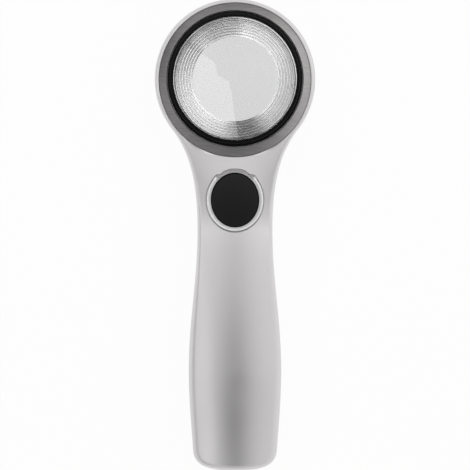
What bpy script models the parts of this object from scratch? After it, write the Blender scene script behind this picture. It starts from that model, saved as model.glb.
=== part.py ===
"""Illuminated hand lens: a silver moulded handle with a round lens head, a thumb button and a battery door.

The part lies on its back. X runs across the handle, Y along it towards the head, and Z up through the lens.
The origin is under the middle of its length, on the surface that it lies on. All sizes are in metres.
"""

import math

import bmesh
import bpy
import numpy as np
from mathutils import Matrix

# General fits
GAP = 0.0003
WALL = 0.0018
OVERLAP = 0.0006
TURN_STEPS = 36
OVAL_STEPS = 32
SMALL_STEPS = 12
COIL_STEPS = 10

# Outline of the handle and head, seen from the front
HEAD_RIM = 0.0016
NECK_BELOW_HEAD = 0.0245
END_TO_BELLY = 0.0350
END_TO_CORNER = 0.0070
NECK_SIDE_AT_BUTTON = 0.00165
NECK_SIDE_AT_CELLS = 0.00145
BELLY_SIDE = 0.00455
CORNER_SIDE = 0.00305
FLARE_ANGLE = math.radians(38)
FLARE_PULL = 0.0095
NECK_PULL = 0.0180
HANDLE_PULL = 0.0180
END_PULL = 0.0055
END_FLAT_PULL = 0.0100
CORNER_LEAN = math.radians(4)

# Heights of the front surface above the resting face, and how far its sides fall below its middle
SEAM_HEIGHT = 0.0080
SEAM_BAND = 0.0008
HEAD_HEIGHT = 0.0150
HEAD_FLAT_ABOVE_EDGE = 0.0098
BELLY_OVER_CELLS = 0.0024
END_BELOW_BELLY = 0.0014
NECK_DROP = 0.0022
BELLY_DROP = 0.0050
FRONT_EDGE_HEAD = 0.0024
FRONT_EDGE_HANDLE = 0.0027
REAR_EDGE_HEAD = 0.0030
REAR_EDGE_HANDLE = 0.0050
FRONT_SQUARENESS = 0.5

# Lens head, as radii from the lens axis and heights
BEZEL_WIDTH = 0.0027
BEZEL_THICKNESS = 0.0013
BEZEL_RISE = 0.0014
COLLAR_WALL = 0.0009
COLLAR_FLANGE = 0.0007
COLLAR_BAND = 0.0019
COLLAR_CONE = 0.0025
COLLAR_LIP = 0.0004
LIP_OVERLAP = 0.0003
COLLAR_STEP = 0.0004
COLLAR_REACH = 0.0046
LENS_RADIUS = 0.0215
LENS_EDGE = 0.0022
LENS_SAG = 0.0026
SEAL_WIRE = 0.00025
BAFFLE_WIDTH = 0.0072
BAFFLE_DEPTH = 0.0034
BAFFLE_DISH = 0.0013
RIDGE_PITCH = 0.0011
RIDGE_HEIGHT = 0.0003
RIBBED_MARGIN = 0.0006
APERTURE_LAND = 0.0008
SHROUD_WALL = 0.0010
SHROUD_FLARE = 0.0013
BOARD_THICKNESS = 0.0012
LED_COUNT = 6
LED_SIZE = 0.0030
LED_HEIGHT = 0.0010
WINDOW_THICKNESS = 0.0018
WINDOW_LIP = 0.0015

# Thumb button
BUTTON_BELOW_HEAD = 0.0140
BUTTON_HALF_WIDTH = 0.0081
BUTTON_HALF_LENGTH = 0.0092
BUTTON_EDGE_HEIGHT = 0.0160
BUTTON_CROWN = 0.0006
BUTTON_DEPTH = 0.0033
BUTTON_FLANGE_HEIGHT = 0.0008
BUTTON_FLANGE = 0.0010
BUTTON_TRAVEL = 0.0010
RIM_WIDTH = 0.0015
RIM_HEIGHT = 0.0163
RIM_DEPTH = 0.0023
RIM_ROUND = 0.0005
WELL_WALL = 0.0012

# Electronics and cells
MAIN_BOARD_HALF_WIDTH = 0.0066
MAIN_BOARD_LENGTH = 0.0290
MAIN_BOARD_BELOW_BUTTON = 0.0165
MAIN_BOARD_HEIGHT = 0.0060
SWITCH_SIZE = 0.0060
SWITCH_HEIGHT = 0.0019
PLUNGER_RADIUS = 0.0015
CHIP_SIZE = 0.0040
CHIP_HEIGHT = 0.0012
CELL_RADIUS = 0.00525
CELL_LENGTH = 0.0430
CELL_TIP_RADIUS = 0.0019
CELL_TIP_LENGTH = 0.0012
CELLS_BELOW_HEAD = 0.0540
END_ROOM = 0.0069
TRAY_WALL = 0.0007
TRAY_FOOT_BELOW_CELLS = 0.0010
CONTACT_ROOM = 0.0034
CONTACT_THICKNESS = 0.0005
CONTACT_HALF = 0.0032
SPRING_WIRE = 0.0003
SPRING_TURNS = 2.0
SPRING_WIDE = 0.0029
SPRING_NARROW = 0.0020
BUTTON_SPRING_WIRE = 0.00025
BUTTON_SPRING_TURNS = 2.0
BUTTON_SPRING_RADIUS = 0.0056
WIRE_RADIUS = 0.0005

# Rear shell, door and screws
DOOR_BELOW_HEAD = 0.0405
HEAD_SCREW_X = 0.0102
HEAD_SCREW_BELOW_HEAD = 0.0005
GRIP_SCREW_X = 0.0076
GRIP_SCREW_TO_DOOR = 0.0052
SCREW_SHANK = 0.0011
SCREW_HEAD = 0.0020
SCREW_HEAD_HEIGHT = 0.0010
SCREW_LENGTH = 0.0080
SCREW_RECESS = 0.0009
SCREW_SLOT = 0.0006
BOSS_WALL = 0.0011
POST_RADIUS = 0.0016
GRIP_RIDGES = 4
GRIP_PITCH = 0.0024
GRIP_DEPTH = 0.0005
GRIP_HALF_WIDTH = 0.0060
GRIP_FROM_DOOR_TOP = 0.0070
TONGUE_HALF_WIDTH = 0.0018
TONGUE_REACH = 0.0030
TONGUE_THICKNESS = 0.0010
TRAY_TAB_HALF_WIDTH = 0.0030
TRAY_TAB_REACH = 0.0056
TRAY_TAB_THICKNESS = 0.0012
TRAY_SCREW_LENGTH = 0.0050

# Places worked out from the sizes above
COLLAR_BORE = LENS_RADIUS + GAP
SPIGOT_RADIUS = COLLAR_BORE + COLLAR_WALL
COLLAR_OUTER = SPIGOT_RADIUS + COLLAR_FLANGE
BEZEL_INNER = COLLAR_OUTER + GAP
BEZEL_OUTER = BEZEL_INNER + BEZEL_WIDTH
HEAD_RADIUS = BEZEL_OUTER + HEAD_RIM
APERTURE_RADIUS = LENS_RADIUS - BAFFLE_WIDTH
LIP_RADIUS = LENS_RADIUS - LIP_OVERLAP
CELL_SPACING = 2 * CELL_RADIUS + GAP
CELL_HEIGHT = WALL + GAP + CELL_RADIUS
TRAY_RADIUS = CELL_RADIUS + GAP + TRAY_WALL
TRAY_FOOT_HEIGHT = CELL_HEIGHT - TRAY_FOOT_BELOW_CELLS
TRAY_HALF_WIDTH = CELL_SPACING / 2 + TRAY_RADIUS
CELL_FULL_LENGTH = CELL_LENGTH + CELL_TIP_LENGTH
HANDLE_LENGTH = CELLS_BELOW_HEAD + CELL_FULL_LENGTH + CONTACT_ROOM + END_ROOM
RIM_OUTSIDE = 2 * GAP + RIM_WIDTH
WELL_HALF_WIDTH = BUTTON_HALF_WIDTH + RIM_OUTSIDE + WELL_WALL
NECK_HALF_WIDTH = max(WELL_HALF_WIDTH + NECK_SIDE_AT_BUTTON, TRAY_HALF_WIDTH + NECK_SIDE_AT_CELLS)
BELLY_HALF_WIDTH = TRAY_HALF_WIDTH + BELLY_SIDE
CORNER_HALF_WIDTH = TRAY_HALF_WIDTH + CORNER_SIDE
BELLY_HEIGHT = CELL_HEIGHT + TRAY_RADIUS + WALL + BELLY_OVER_CELLS
END_HEIGHT = BELLY_HEIGHT - END_BELOW_BELLY
HEAD_Y = HANDLE_LENGTH / 2
HEAD_EDGE_Y = HEAD_Y - HEAD_RADIUS
END_Y = HEAD_EDGE_Y - HANDLE_LENGTH
NECK_Y = HEAD_EDGE_Y - NECK_BELOW_HEAD
BELLY_Y = END_Y + END_TO_BELLY
CORNER_Y = END_Y + END_TO_CORNER
HEAD_STATION = HEAD_EDGE_Y + HEAD_FLAT_ABOVE_EDGE
BUTTON_Y = HEAD_EDGE_Y - BUTTON_BELOW_HEAD
DOOR_Y = HEAD_EDGE_Y - DOOR_BELOW_HEAD
CELL_TOP_Y = HEAD_EDGE_Y - CELLS_BELOW_HEAD
CELL_END_Y = CELL_TOP_Y - CELL_FULL_LENGTH
TRAY_TOP_Y = CELL_TOP_Y + CONTACT_ROOM
TRAY_END_Y = CELL_END_Y - CONTACT_ROOM
SEAT_HEIGHT = HEAD_HEIGHT - BEZEL_THICKNESS - GAP
BAND_TOP = SEAT_HEIGHT + GAP + BEZEL_THICKNESS + COLLAR_BAND
COLLAR_TOP = BAND_TOP + COLLAR_CONE
LENS_EDGE_TOP = COLLAR_TOP - COLLAR_LIP - GAP
LENS_BACK = LENS_EDGE_TOP - LENS_EDGE
BAFFLE_TOP = LENS_BACK - 2 * SEAL_WIRE - GAP
BAFFLE_UNDER = BAFFLE_TOP - BAFFLE_DISH - BAFFLE_DEPTH
WINDOW_BACK = WALL + GAP
WINDOW_FRONT = WINDOW_BACK + WINDOW_THICKNESS
SHROUD_FOOT = WINDOW_FRONT + GAP
LED_BOARD_FRONT = BAFFLE_UNDER - GAP
LED_BOARD_BACK = LED_BOARD_FRONT - BOARD_THICKNESS
BOARD_INNER = APERTURE_RADIUS + SHROUD_FLARE + SHROUD_WALL + GAP
BOARD_OUTER = COLLAR_BORE - 2 * GAP
MAIN_BOARD_TOP = MAIN_BOARD_HEIGHT + BOARD_THICKNESS
MAIN_BOARD_Y = BUTTON_Y - MAIN_BOARD_BELOW_BUTTON
CAP_FOOT = BUTTON_EDGE_HEIGHT - BUTTON_DEPTH
WELL_FLOOR = RIM_HEIGHT - RIM_DEPTH - GAP
FRAME_FOOT = SEAT_HEIGHT - COLLAR_REACH
HEAD_SCREW_Y = HEAD_EDGE_Y - HEAD_SCREW_BELOW_HEAD
GRIP_SCREW_Y = DOOR_Y + GRIP_SCREW_TO_DOOR
SCREW_PLACES = {
    "shell_screw_head_left": (-HEAD_SCREW_X, HEAD_SCREW_Y),
    "shell_screw_head_right": (HEAD_SCREW_X, HEAD_SCREW_Y),
    "shell_screw_grip_left": (-GRIP_SCREW_X, GRIP_SCREW_Y),
    "shell_screw_grip_right": (GRIP_SCREW_X, GRIP_SCREW_Y),
}

for old in list(bpy.data.objects):
    bpy.data.objects.remove(old)
parts = bpy.data.collections.new("hand_lens")
cutters = bpy.data.collections.new("cutters")
bpy.context.scene.collection.children.link(parts)
bpy.context.scene.collection.children.link(cutters)


def material(name, colour, roughness, metallic=0.0, alpha=1.0):
    """A Principled BSDF with one colour, roughness and metallic value."""
    made = bpy.data.materials.new(name)
    made.use_nodes = True
    shader = made.node_tree.nodes["Principled BSDF"]
    shader.inputs["Base Color"].default_value = (*colour, 1.0)
    shader.inputs["Roughness"].default_value = roughness
    shader.inputs["Metallic"].default_value = metallic
    shader.inputs["Alpha"].default_value = alpha
    return made


SILVER_PAINT = material("silver_paint", (0.62, 0.62, 0.62), 0.35, 0.8)
GUNMETAL = material("gunmetal_aluminium", (0.20, 0.20, 0.20), 0.35, 1.0)
BLACK_PLASTIC = material("black_plastic", (0.012, 0.012, 0.012), 0.3)
CLEAR = material("clear_acrylic", (0.95, 0.97, 0.97), 0.02, 0.0, 0.25)
BRIGHT_METAL = material("bright_metal", (0.72, 0.72, 0.72), 0.2, 1.0)
RUBBER = material("black_rubber", (0.016, 0.016, 0.016), 0.6)
BOARD_GREEN = material("circuit_board", (0.03, 0.16, 0.07), 0.5)
WHITE_PLASTIC = material("white_plastic", (0.8, 0.8, 0.76), 0.4)
GREY_PLASTIC = material("grey_plastic", (0.22, 0.22, 0.23), 0.5)
STEEL = material("plated_steel", (0.6, 0.6, 0.58), 0.3, 1.0)
CELL_SLEEVE = material("cell_sleeve", (0.25, 0.27, 0.30), 0.35)
RED_SLEEVE = material("red_wire", (0.45, 0.03, 0.03), 0.5)
BLACK_SLEEVE = material("black_wire", (0.02, 0.02, 0.02), 0.5)


def place(name, mesh, finish, at=(0, 0, 0)):
    """A mesh as a named part with its finish, shaded smooth away from its sharp edges."""
    obj = bpy.data.objects.new(name, mesh)
    obj.location = at
    if finish is None:
        obj.hide_render = True
        obj.display_type = "WIRE"
        cutters.objects.link(obj)
        return obj
    mesh.materials.append(finish)
    parts.objects.link(obj)
    return obj


def mesh_of(name, form):
    """A bmesh made a mesh that is smooth but for edges over 35 degrees."""
    mesh = bpy.data.meshes.new(name)
    form.to_mesh(mesh)
    form.free()
    mesh.shade_smooth()
    mesh.set_sharp_from_angle(angle=math.radians(35))
    return mesh


def block(name, low, high, finish=None):
    """A box between two corners."""
    form = bmesh.new()
    bmesh.ops.create_cube(form, size=1.0)
    size = [b - a for a, b in zip(low, high)]
    middle = [(a + b) / 2 for a, b in zip(low, high)]
    bmesh.ops.scale(form, vec=size, verts=form.verts)
    return place(name, mesh_of(name, form), finish, middle)


def plug(name, radius, low, high, finish=None, at=(0, 0), steps=TURN_STEPS):
    """An upright round plug between two heights."""
    form = bmesh.new()
    depth = high - low
    bmesh.ops.create_cone(form, cap_ends=True, segments=steps, radius1=radius, radius2=radius, depth=depth)
    half_step = Matrix.Rotation(math.pi / steps, 3, "Z")
    bmesh.ops.rotate(form, verts=form.verts, cent=(0, 0, 0), matrix=half_step)
    return place(name, mesh_of(name, form), finish, (*at, (low + high) / 2))


def turned(name, profile, finish=None, at=(0, 0, 0), steps=TURN_STEPS):
    """A profile of (radius, height) points, down its outer side and up its inner one, turned about Z."""
    form = bmesh.new()
    points = [form.verts.new((radius, 0, height)) for radius, height in profile]
    ends = zip(points, points[1:] + points[:1])
    for first, second in ends:
        if max(first.co.x, second.co.x) > 0:
            form.edges.new((first, second))
    mesh = bpy.data.meshes.new(name)
    form.to_mesh(mesh)
    form.free()
    obj = place(name, mesh, finish, at)
    screw = obj.modifiers.new("turn", "SCREW")
    screw.steps = steps
    screw.render_steps = steps
    screw.use_merge_vertices = True
    screw.merge_threshold = 0.00001
    screw.use_smooth_shade = True
    return obj


def cut(obj, cutter, operation="DIFFERENCE"):
    """Takes the cutter out of the object, or joins or keeps what they share."""
    change = obj.modifiers.new(f"{operation.lower()} {cutter.name}", "BOOLEAN")
    change.operation = operation
    change.object = cutter
    return obj


def tube(name, points, radius, finish, sides=1):
    """A round wire with filled ends through a list of points."""
    curve = bpy.data.curves.new(name, "CURVE")
    curve.dimensions = "3D"
    curve.bevel_depth = radius
    curve.bevel_resolution = sides
    curve.use_fill_caps = True
    line = curve.splines.new("POLY")
    line.points.add(len(points) - 1)
    for spot, target in zip(line.points, points):
        spot.co = (*target, 1.0)
    curve.materials.append(finish)
    obj = bpy.data.objects.new(name, curve)
    parts.objects.link(obj)
    return obj


def bezier(start, first, second, end, count):
    """Points along a cubic curve, without its last one."""
    share = np.linspace(0, 1, count, endpoint=False)[:, None]
    keep = 1 - share
    ends = keep**3 * np.array(start) + share**3 * np.array(end)
    return ends + 3 * keep**2 * share * np.array(first) + 3 * keep * share**2 * np.array(second)


def half_outline():
    """Right half of the outline from the head's top to the handle's end, and each point's spine place."""
    turn = np.linspace(math.pi / 2, -FLARE_ANGLE, 13)[:-1]
    head = np.stack([HEAD_RADIUS * np.cos(turn), HEAD_Y + HEAD_RADIUS * np.sin(turn)], 1)
    leave = np.array([HEAD_RADIUS * math.cos(FLARE_ANGLE), HEAD_Y - HEAD_RADIUS * math.sin(FLARE_ANGLE)])
    along = np.array([-math.sin(FLARE_ANGLE), -math.cos(FLARE_ANGLE)])
    neck = np.array([NECK_HALF_WIDTH, NECK_Y])
    belly = np.array([BELLY_HALF_WIDTH, BELLY_Y])
    corner = np.array([CORNER_HALF_WIDTH, CORNER_Y])
    lean = np.array([-math.sin(CORNER_LEAN), -math.cos(CORNER_LEAN)])
    end = np.array([0.0, END_Y])
    down = np.array([0.0, -1.0])
    flare = bezier(leave, leave + FLARE_PULL * along, neck - NECK_PULL * down, neck, 8)
    swell = bezier(neck, neck + HANDLE_PULL * down, belly - HANDLE_PULL * down, belly, 6)
    taper = bezier(belly, belly + END_FLAT_PULL * down, corner - END_FLAT_PULL * lean, corner, 4)
    round_end = bezier(corner, corner + END_PULL * lean, end + (END_FLAT_PULL, 0), end, 6)
    edge = np.concatenate([head, flare, swell, taper, round_end, end[None]])
    spine = edge[:, 1].copy()
    spine[: len(head)] = HEAD_Y
    foot_of_flare = np.linspace(HEAD_Y, NECK_Y, len(flare) + 1)[:-1]
    spine[len(head) : len(head) + len(flare)] = foot_of_flare
    last = len(taper) + len(round_end) + 1
    spine[-last:] = np.linspace(BELLY_Y, END_Y + CORNER_HALF_WIDTH, last)
    return edge, spine


def smooth_between(y, stations):
    """A value along the handle that eases from one (y, value) station to the next."""
    places, values = np.array(sorted(stations)).T
    y = np.clip(y, places[0], places[-1])
    index = np.clip(np.searchsorted(places, y) - 1, 0, len(places) - 2)
    share = (y - places[index]) / (places[index + 1] - places[index])
    ease = share * share * (3 - 2 * share)
    return values[index] + (values[index + 1] - values[index]) * ease


def front_height(x, y, half_width):
    """Height of the front inside its rounded edge: a spine highest at the belly, less a fall to each side."""
    spine = smooth_between(
        y, [(END_Y, END_HEIGHT), (BELLY_Y, BELLY_HEIGHT), (HEAD_STATION, HEAD_HEIGHT)]
    )
    drop = smooth_between(
        y, [(END_Y, BELLY_DROP), (BELLY_Y, BELLY_DROP), (NECK_Y, NECK_DROP), (HEAD_STATION, 0.0)]
    )
    return spine - drop * (x / half_width) ** 2


def shell(name, finish, front):
    """Half of the casing: the outline drawn in to the spine over a rounded edge, mirrored, with a wall."""
    edge, spine = half_outline()
    feet = np.stack([np.zeros(len(spine)), spine], 1)
    reach = np.linalg.norm(feet - edge, axis=1)
    sizes = (FRONT_EDGE_HEAD, FRONT_EDGE_HANDLE) if front else (REAR_EDGE_HEAD, REAR_EDGE_HANDLE)
    radius = smooth_between(spine, [(NECK_Y, sizes[1]), (HEAD_Y, sizes[0])])
    turn = np.linspace(0, math.pi / 2, 5)
    insets = [0 * radius] + [radius * (1 - math.cos(a)) for a in turn]
    power = FRONT_SQUARENESS if front else 1.0
    lifts = [None] + [math.sin(a) ** power for a in turn]
    for share in (0.33, 0.66, 1.0) if front else (1.0,):
        insets.append(radius + (reach - radius) * share)
        lifts.append(1.0)
    stations = [
        (END_Y, CORNER_HALF_WIDTH),
        (BELLY_Y, BELLY_HALF_WIDTH),
        (NECK_Y, NECK_HALF_WIDTH),
        (HEAD_Y, HEAD_RADIUS),
    ]
    widths = smooth_between(spine, stations)
    side = 1 if front else -1
    seam = SEAM_HEIGHT + side * GAP / 2
    band = seam + side * SEAM_BAND
    form = bmesh.new()
    rows = []
    for inset, lift in zip(insets, lifts):
        spots = edge + (feet - edge) * (inset / reach)[:, None]
        if lift is None:
            height = np.full(len(spots), seam)
        elif front:
            top = front_height(spots[:, 0], spots[:, 1], np.maximum(widths, edge[:, 0]))
            height = band + (top - band) * lift
        else:
            height = np.full(len(spots), band * (1 - lift))
        rows.append([form.verts.new((x, y, z)) for (x, y), z in zip(spots, height)])
    for lower, upper in zip(rows, rows[1:]):
        for a, b, c, d in zip(lower, lower[1:], upper[1:], upper):
            form.faces.new((a, d, c, b) if front else (a, b, c, d))
    bmesh.ops.remove_doubles(form, verts=form.verts, dist=0.00001)
    obj = place(name, mesh_of(name, form), finish)
    mirror = obj.modifiers.new("both sides", "MIRROR")
    mirror.merge_threshold = 0.00001
    wall = obj.modifiers.new("wall", "SOLIDIFY")
    wall.thickness = WALL
    wall.offset = -1
    return obj


def oval_sweep(name, profile, finish=None, capped=False):
    """Ovals about the button, each (offset from its edge, height), joined as a ring or as a capped plug.

    A height of None follows the middle of the front shell's wall.
    """
    form = bmesh.new()
    rows = []
    for offset, height in profile:
        row = []
        for step in range(OVAL_STEPS):
            turn = 2 * math.pi * (step + 0.5) / OVAL_STEPS
            x = (BUTTON_HALF_WIDTH + offset) * math.cos(turn)
            y = (BUTTON_HALF_LENGTH + offset) * math.sin(turn)
            z = height
            if height is None:
                z = front_height(x, BUTTON_Y + y, NECK_HALF_WIDTH) - WALL / 2
            row.append(form.verts.new((x, y, z)))
        rows.append(row)
    pairs = list(zip(rows, rows[1:]))
    if capped:
        form.faces.new(rows[0])
        form.faces.new(rows[-1])
    else:
        pairs.append((rows[-1], rows[0]))
    for lower, upper in pairs:
        for a, b, c, d in zip(lower, lower[1:] + lower[:1], upper[1:] + upper[:1], upper):
            form.faces.new((a, b, c, d))
    bmesh.ops.recalc_face_normals(form, faces=form.faces)
    return place(name, mesh_of(name, form), finish, (0, BUTTON_Y, 0))


def laid(name, radius, low_y, high_y, x, z, finish=None, steps=32):
    """A round rod lying along Y."""
    rod = plug(name, radius, low_y, high_y, finish, (0, 0), steps)
    rod.rotation_euler.x = -math.pi / 2
    rod.location = (x, (low_y + high_y) / 2, z)
    return rod


def coil(name, start, end, wide, narrow, turns, wire, finish):
    """A wire coiled about the line between two points, from its wide end to its narrow one."""
    start, end = np.array(start), np.array(end)
    along = (end - start) / np.linalg.norm(end - start)
    across = np.array([1.0, 0.0, 0.0])
    other = np.cross(along, across)
    share = np.linspace(0, 1, int(turns * COIL_STEPS) + 1)[:, None]
    turn = 2 * math.pi * turns * share
    radius = wide + (narrow - wide) * share
    points = start + (end - start) * share + radius * (np.cos(turn) * across + np.sin(turn) * other)
    return tube(name, points, wire, finish)


def screw_part(name, x, y, foot, length):
    """A cross-head screw with its head facing down."""
    top = foot + SCREW_HEAD_HEIGHT
    tip = top + length
    bevel = SCREW_SHANK / 3
    profile = [
        (0, tip),
        (SCREW_SHANK - bevel, tip),
        (SCREW_SHANK, tip - bevel),
        (SCREW_SHANK, top),
        (SCREW_HEAD, top),
        (SCREW_HEAD, foot + bevel),
        (SCREW_HEAD - bevel, foot),
        (0, foot),
    ]
    obj = turned(name, profile, STEEL, (x, y, 0), SMALL_STEPS)
    depth = foot + SCREW_HEAD_HEIGHT * 0.6
    reach = SCREW_HEAD * 0.65
    half = SCREW_SLOT / 2
    cross = block(f"{name}_slot", (x - reach, y - half, foot - OVERLAP), (x + reach, y + half, depth))
    other = block(f"{name}_cross", (x - half, y - reach, foot - OVERLAP), (x + half, y + reach, depth))
    cut(cross, other, "UNION")
    return cut(obj, cross)


# Front shell: one moulding with a deep seat for the lens, a well for the button and bosses for the screws
front_shell = shell("front_shell", SILVER_PAINT, True)
frame_profile = [
    (HEAD_RADIUS - WALL + OVERLAP / 2, HEAD_HEIGHT - WALL / 2),
    (HEAD_RADIUS - WALL + OVERLAP / 2, FRAME_FOOT),
    (SPIGOT_RADIUS, FRAME_FOOT),
    (SPIGOT_RADIUS, HEAD_HEIGHT - WALL / 2),
]
cut(front_shell, turned("head_frame", frame_profile, None, (0, HEAD_Y, 0)), "UNION")
well_foot = WELL_FLOOR - WELL_WALL
well_profile = [
    (RIM_OUTSIDE + WELL_WALL, well_foot),
    (RIM_OUTSIDE + WELL_WALL, None),
    (0, None),
    (0, well_foot),
]
cut(front_shell, oval_sweep("button_well", well_profile), "UNION")
boss_radius = SCREW_SHANK + GAP + BOSS_WALL
for name, (x, y) in SCREW_PLACES.items():
    boss_top = front_height(abs(x) + boss_radius, y, NECK_HALF_WIDTH) - WALL / 2
    boss_foot = SEAM_HEIGHT + GAP / 2
    boss = plug(f"{name}_front_boss", boss_radius, boss_foot, boss_top, None, (x, y), SMALL_STEPS)
    cut(front_shell, boss, "UNION")
tray_screw_y = TRAY_TOP_Y + TRAY_TAB_REACH / 2
tab_foot = SEAM_HEIGHT + GAP
tab_top = tab_foot + TRAY_TAB_THICKNESS
tray_boss_top = front_height(0, tray_screw_y, BELLY_HALF_WIDTH) - WALL / 2
tray_boss = plug(
    "tray_boss", boss_radius, tab_top + GAP, tray_boss_top, None, (0, tray_screw_y), SMALL_STEPS
)
cut(front_shell, tray_boss, "UNION")
bezel_seat = plug(
    "bezel_seat", BEZEL_OUTER + GAP, SEAT_HEIGHT, HEAD_HEIGHT + OVERLAP, None, (0, HEAD_Y)
)
cut(front_shell, bezel_seat)
bore = SPIGOT_RADIUS + GAP
cut(front_shell, plug("lens_bore", bore, FRAME_FOOT - OVERLAP, HEAD_HEIGHT, None, (0, HEAD_Y)))
pocket_profile = [(RIM_OUTSIDE, WELL_FLOOR), (RIM_OUTSIDE, RIM_HEIGHT + OVERLAP)]
cut(front_shell, oval_sweep("rim_pocket", pocket_profile, None, True))
hole_edge = BUTTON_FLANGE + GAP
hole_profile = [(hole_edge, well_foot - OVERLAP), (hole_edge, WELL_FLOOR + OVERLAP)]
cut(front_shell, oval_sweep("button_hole", hole_profile, None, True))
pilot = SCREW_SHANK + GAP
for name, (x, y) in SCREW_PLACES.items():
    tip = SCREW_RECESS + SCREW_HEAD_HEIGHT + SCREW_LENGTH + GAP
    cut(front_shell, plug(f"{name}_pilot", pilot, SEAM_HEIGHT - OVERLAP, tip, None, (x, y), SMALL_STEPS))
tray_tip = tab_foot - GAP + TRAY_SCREW_LENGTH + GAP
cut(front_shell, plug("tray_pilot", pilot, tab_top, tray_tip, None, (0, tray_screw_y), SMALL_STEPS))

# Rear shell: the back of the head and grip, with the window opening, screw bosses and posts for the board
rear_shell = shell("rear_shell", SILVER_PAINT, False)
window_radius = LENS_RADIUS + GAP
rib_profile = [
    (window_radius + GAP + SHROUD_WALL, WINDOW_FRONT + OVERLAP),
    (window_radius + GAP + SHROUD_WALL, WALL / 2),
    (window_radius + GAP, WALL / 2),
    (window_radius + GAP, WINDOW_FRONT + OVERLAP),
]
cut(rear_shell, turned("window_rib", rib_profile, None, (0, HEAD_Y, 0)), "UNION")
head_boss = SCREW_HEAD + GAP + BOSS_WALL * 0.7
for name, (x, y) in SCREW_PLACES.items():
    boss = plug(f"{name}_rear_boss", head_boss, WALL / 2, SEAM_HEIGHT - GAP / 2, None, (x, y), SMALL_STEPS)
    cut(rear_shell, boss, "UNION")
post_x = MAIN_BOARD_HALF_WIDTH - POST_RADIUS
low_post_y = MAIN_BOARD_Y + POST_RADIUS
high_post_y = MAIN_BOARD_Y + MAIN_BOARD_LENGTH - POST_RADIUS
for number, post_y in enumerate((low_post_y, high_post_y)):
    for side in (-1, 1):
        post = plug(
            f"board_post_{number}_{side}",
            POST_RADIUS,
            WALL / 2,
            MAIN_BOARD_HEIGHT - GAP,
            None,
            (side * post_x, post_y),
            12,
        )
        cut(rear_shell, post, "UNION")
opening = LENS_RADIUS - WINDOW_LIP
cut(rear_shell, plug("window_opening", opening, -OVERLAP, WALL + OVERLAP, None, (0, HEAD_Y)))
for name, (x, y) in SCREW_PLACES.items():
    seat = SCREW_HEAD + GAP
    seat_top = SCREW_RECESS + SCREW_HEAD_HEIGHT + GAP
    cut(rear_shell, plug(f"{name}_seat", seat, -OVERLAP, seat_top, None, (x, y), SMALL_STEPS))
    cut(rear_shell, plug(f"{name}_hole", pilot, 0, SEAM_HEIGHT + OVERLAP, None, (x, y), SMALL_STEPS))
far = 2 * HANDLE_LENGTH
cut(rear_shell, block("door_side", (-far, -far, -OVERLAP), (far, DOOR_Y + GAP / 2, far)))

# Battery door: the back of the handle, which slides off its end, with finger grooves and a tongue
battery_door = shell("battery_door", SILVER_PAINT, False)
cut(battery_door, block("head_side", (-far, DOOR_Y - GAP / 2, -OVERLAP), (far, far, far)))
tongue_foot = WALL + GAP
tongue_root = block(
    "tongue_root",
    (-TONGUE_HALF_WIDTH, DOOR_Y - GAP - TONGUE_REACH, WALL / 2),
    (TONGUE_HALF_WIDTH, DOOR_Y - GAP, tongue_foot + TONGUE_THICKNESS),
)
tongue = block(
    "tongue",
    (-TONGUE_HALF_WIDTH, DOOR_Y - GAP - TONGUE_REACH / 2, tongue_foot),
    (TONGUE_HALF_WIDTH, DOOR_Y + TONGUE_REACH, tongue_foot + TONGUE_THICKNESS),
)
cut(tongue_root, tongue, "UNION")
cut(battery_door, tongue_root, "UNION")
for number in range(GRIP_RIDGES):
    groove_y = DOOR_Y - GRIP_FROM_DOOR_TOP - number * GRIP_PITCH
    groove = block(
        f"grip_groove_{number}",
        (-GRIP_HALF_WIDTH, groove_y - GRIP_PITCH / 4, -OVERLAP),
        (GRIP_HALF_WIDTH, groove_y + GRIP_PITCH / 4, GRIP_DEPTH),
    )
    cut(battery_door, groove)

# Bezel ring: a turned trim ring whose face rises towards the lens
bezel_profile = [
    (BEZEL_OUTER, HEAD_HEIGHT),
    (BEZEL_OUTER, SEAT_HEIGHT + GAP),
    (BEZEL_INNER, SEAT_HEIGHT + GAP),
    (BEZEL_INNER, HEAD_HEIGHT + BEZEL_RISE),
]
turned("bezel_ring", bezel_profile, GUNMETAL, (0, HEAD_Y, 0))

# Lens collar: holds the lens from its front under a thin lip, and seats on the front shell
collar_profile = [
    (COLLAR_BORE, COLLAR_TOP),
    (COLLAR_OUTER - COLLAR_STEP, BAND_TOP + COLLAR_STEP),
    (COLLAR_OUTER - COLLAR_STEP, BAND_TOP),
    (COLLAR_OUTER, BAND_TOP),
    (COLLAR_OUTER, SEAT_HEIGHT + GAP),
    (SPIGOT_RADIUS, SEAT_HEIGHT + GAP),
    (SPIGOT_RADIUS, FRAME_FOOT),
    (COLLAR_BORE, FRAME_FOOT),
    (COLLAR_BORE, LENS_EDGE_TOP + GAP),
    (LIP_RADIUS, LENS_EDGE_TOP + GAP),
    (LIP_RADIUS, COLLAR_TOP),
]
turned("lens_collar", collar_profile, BLACK_PLASTIC, (0, HEAD_Y, 0))

# Front lens: flat at the back and domed at the front
dome_steps = np.linspace(0, 1, 5)
dome = [(LENS_RADIUS * share, LENS_EDGE_TOP + LENS_SAG * (1 - share**2)) for share in dome_steps]
turned("front_lens", [*dome, (LENS_RADIUS, LENS_BACK), (0, LENS_BACK)], CLEAR, (0, HEAD_Y, 0))

# Lens seal: a thin ring that presses the lens forward
seal_radius = LENS_RADIUS - SEAL_WIRE
seal_height = BAFFLE_TOP + GAP / 2 + SEAL_WIRE
seal_profile = []
for turn in np.linspace(0, 2 * math.pi, 6, endpoint=False):
    out, up = SEAL_WIRE * math.sin(turn), SEAL_WIRE * math.cos(turn)
    seal_profile.append((seal_radius + out, seal_height + up))
turned("lens_seal", seal_profile, RUBBER, (0, HEAD_Y, 0))

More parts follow.
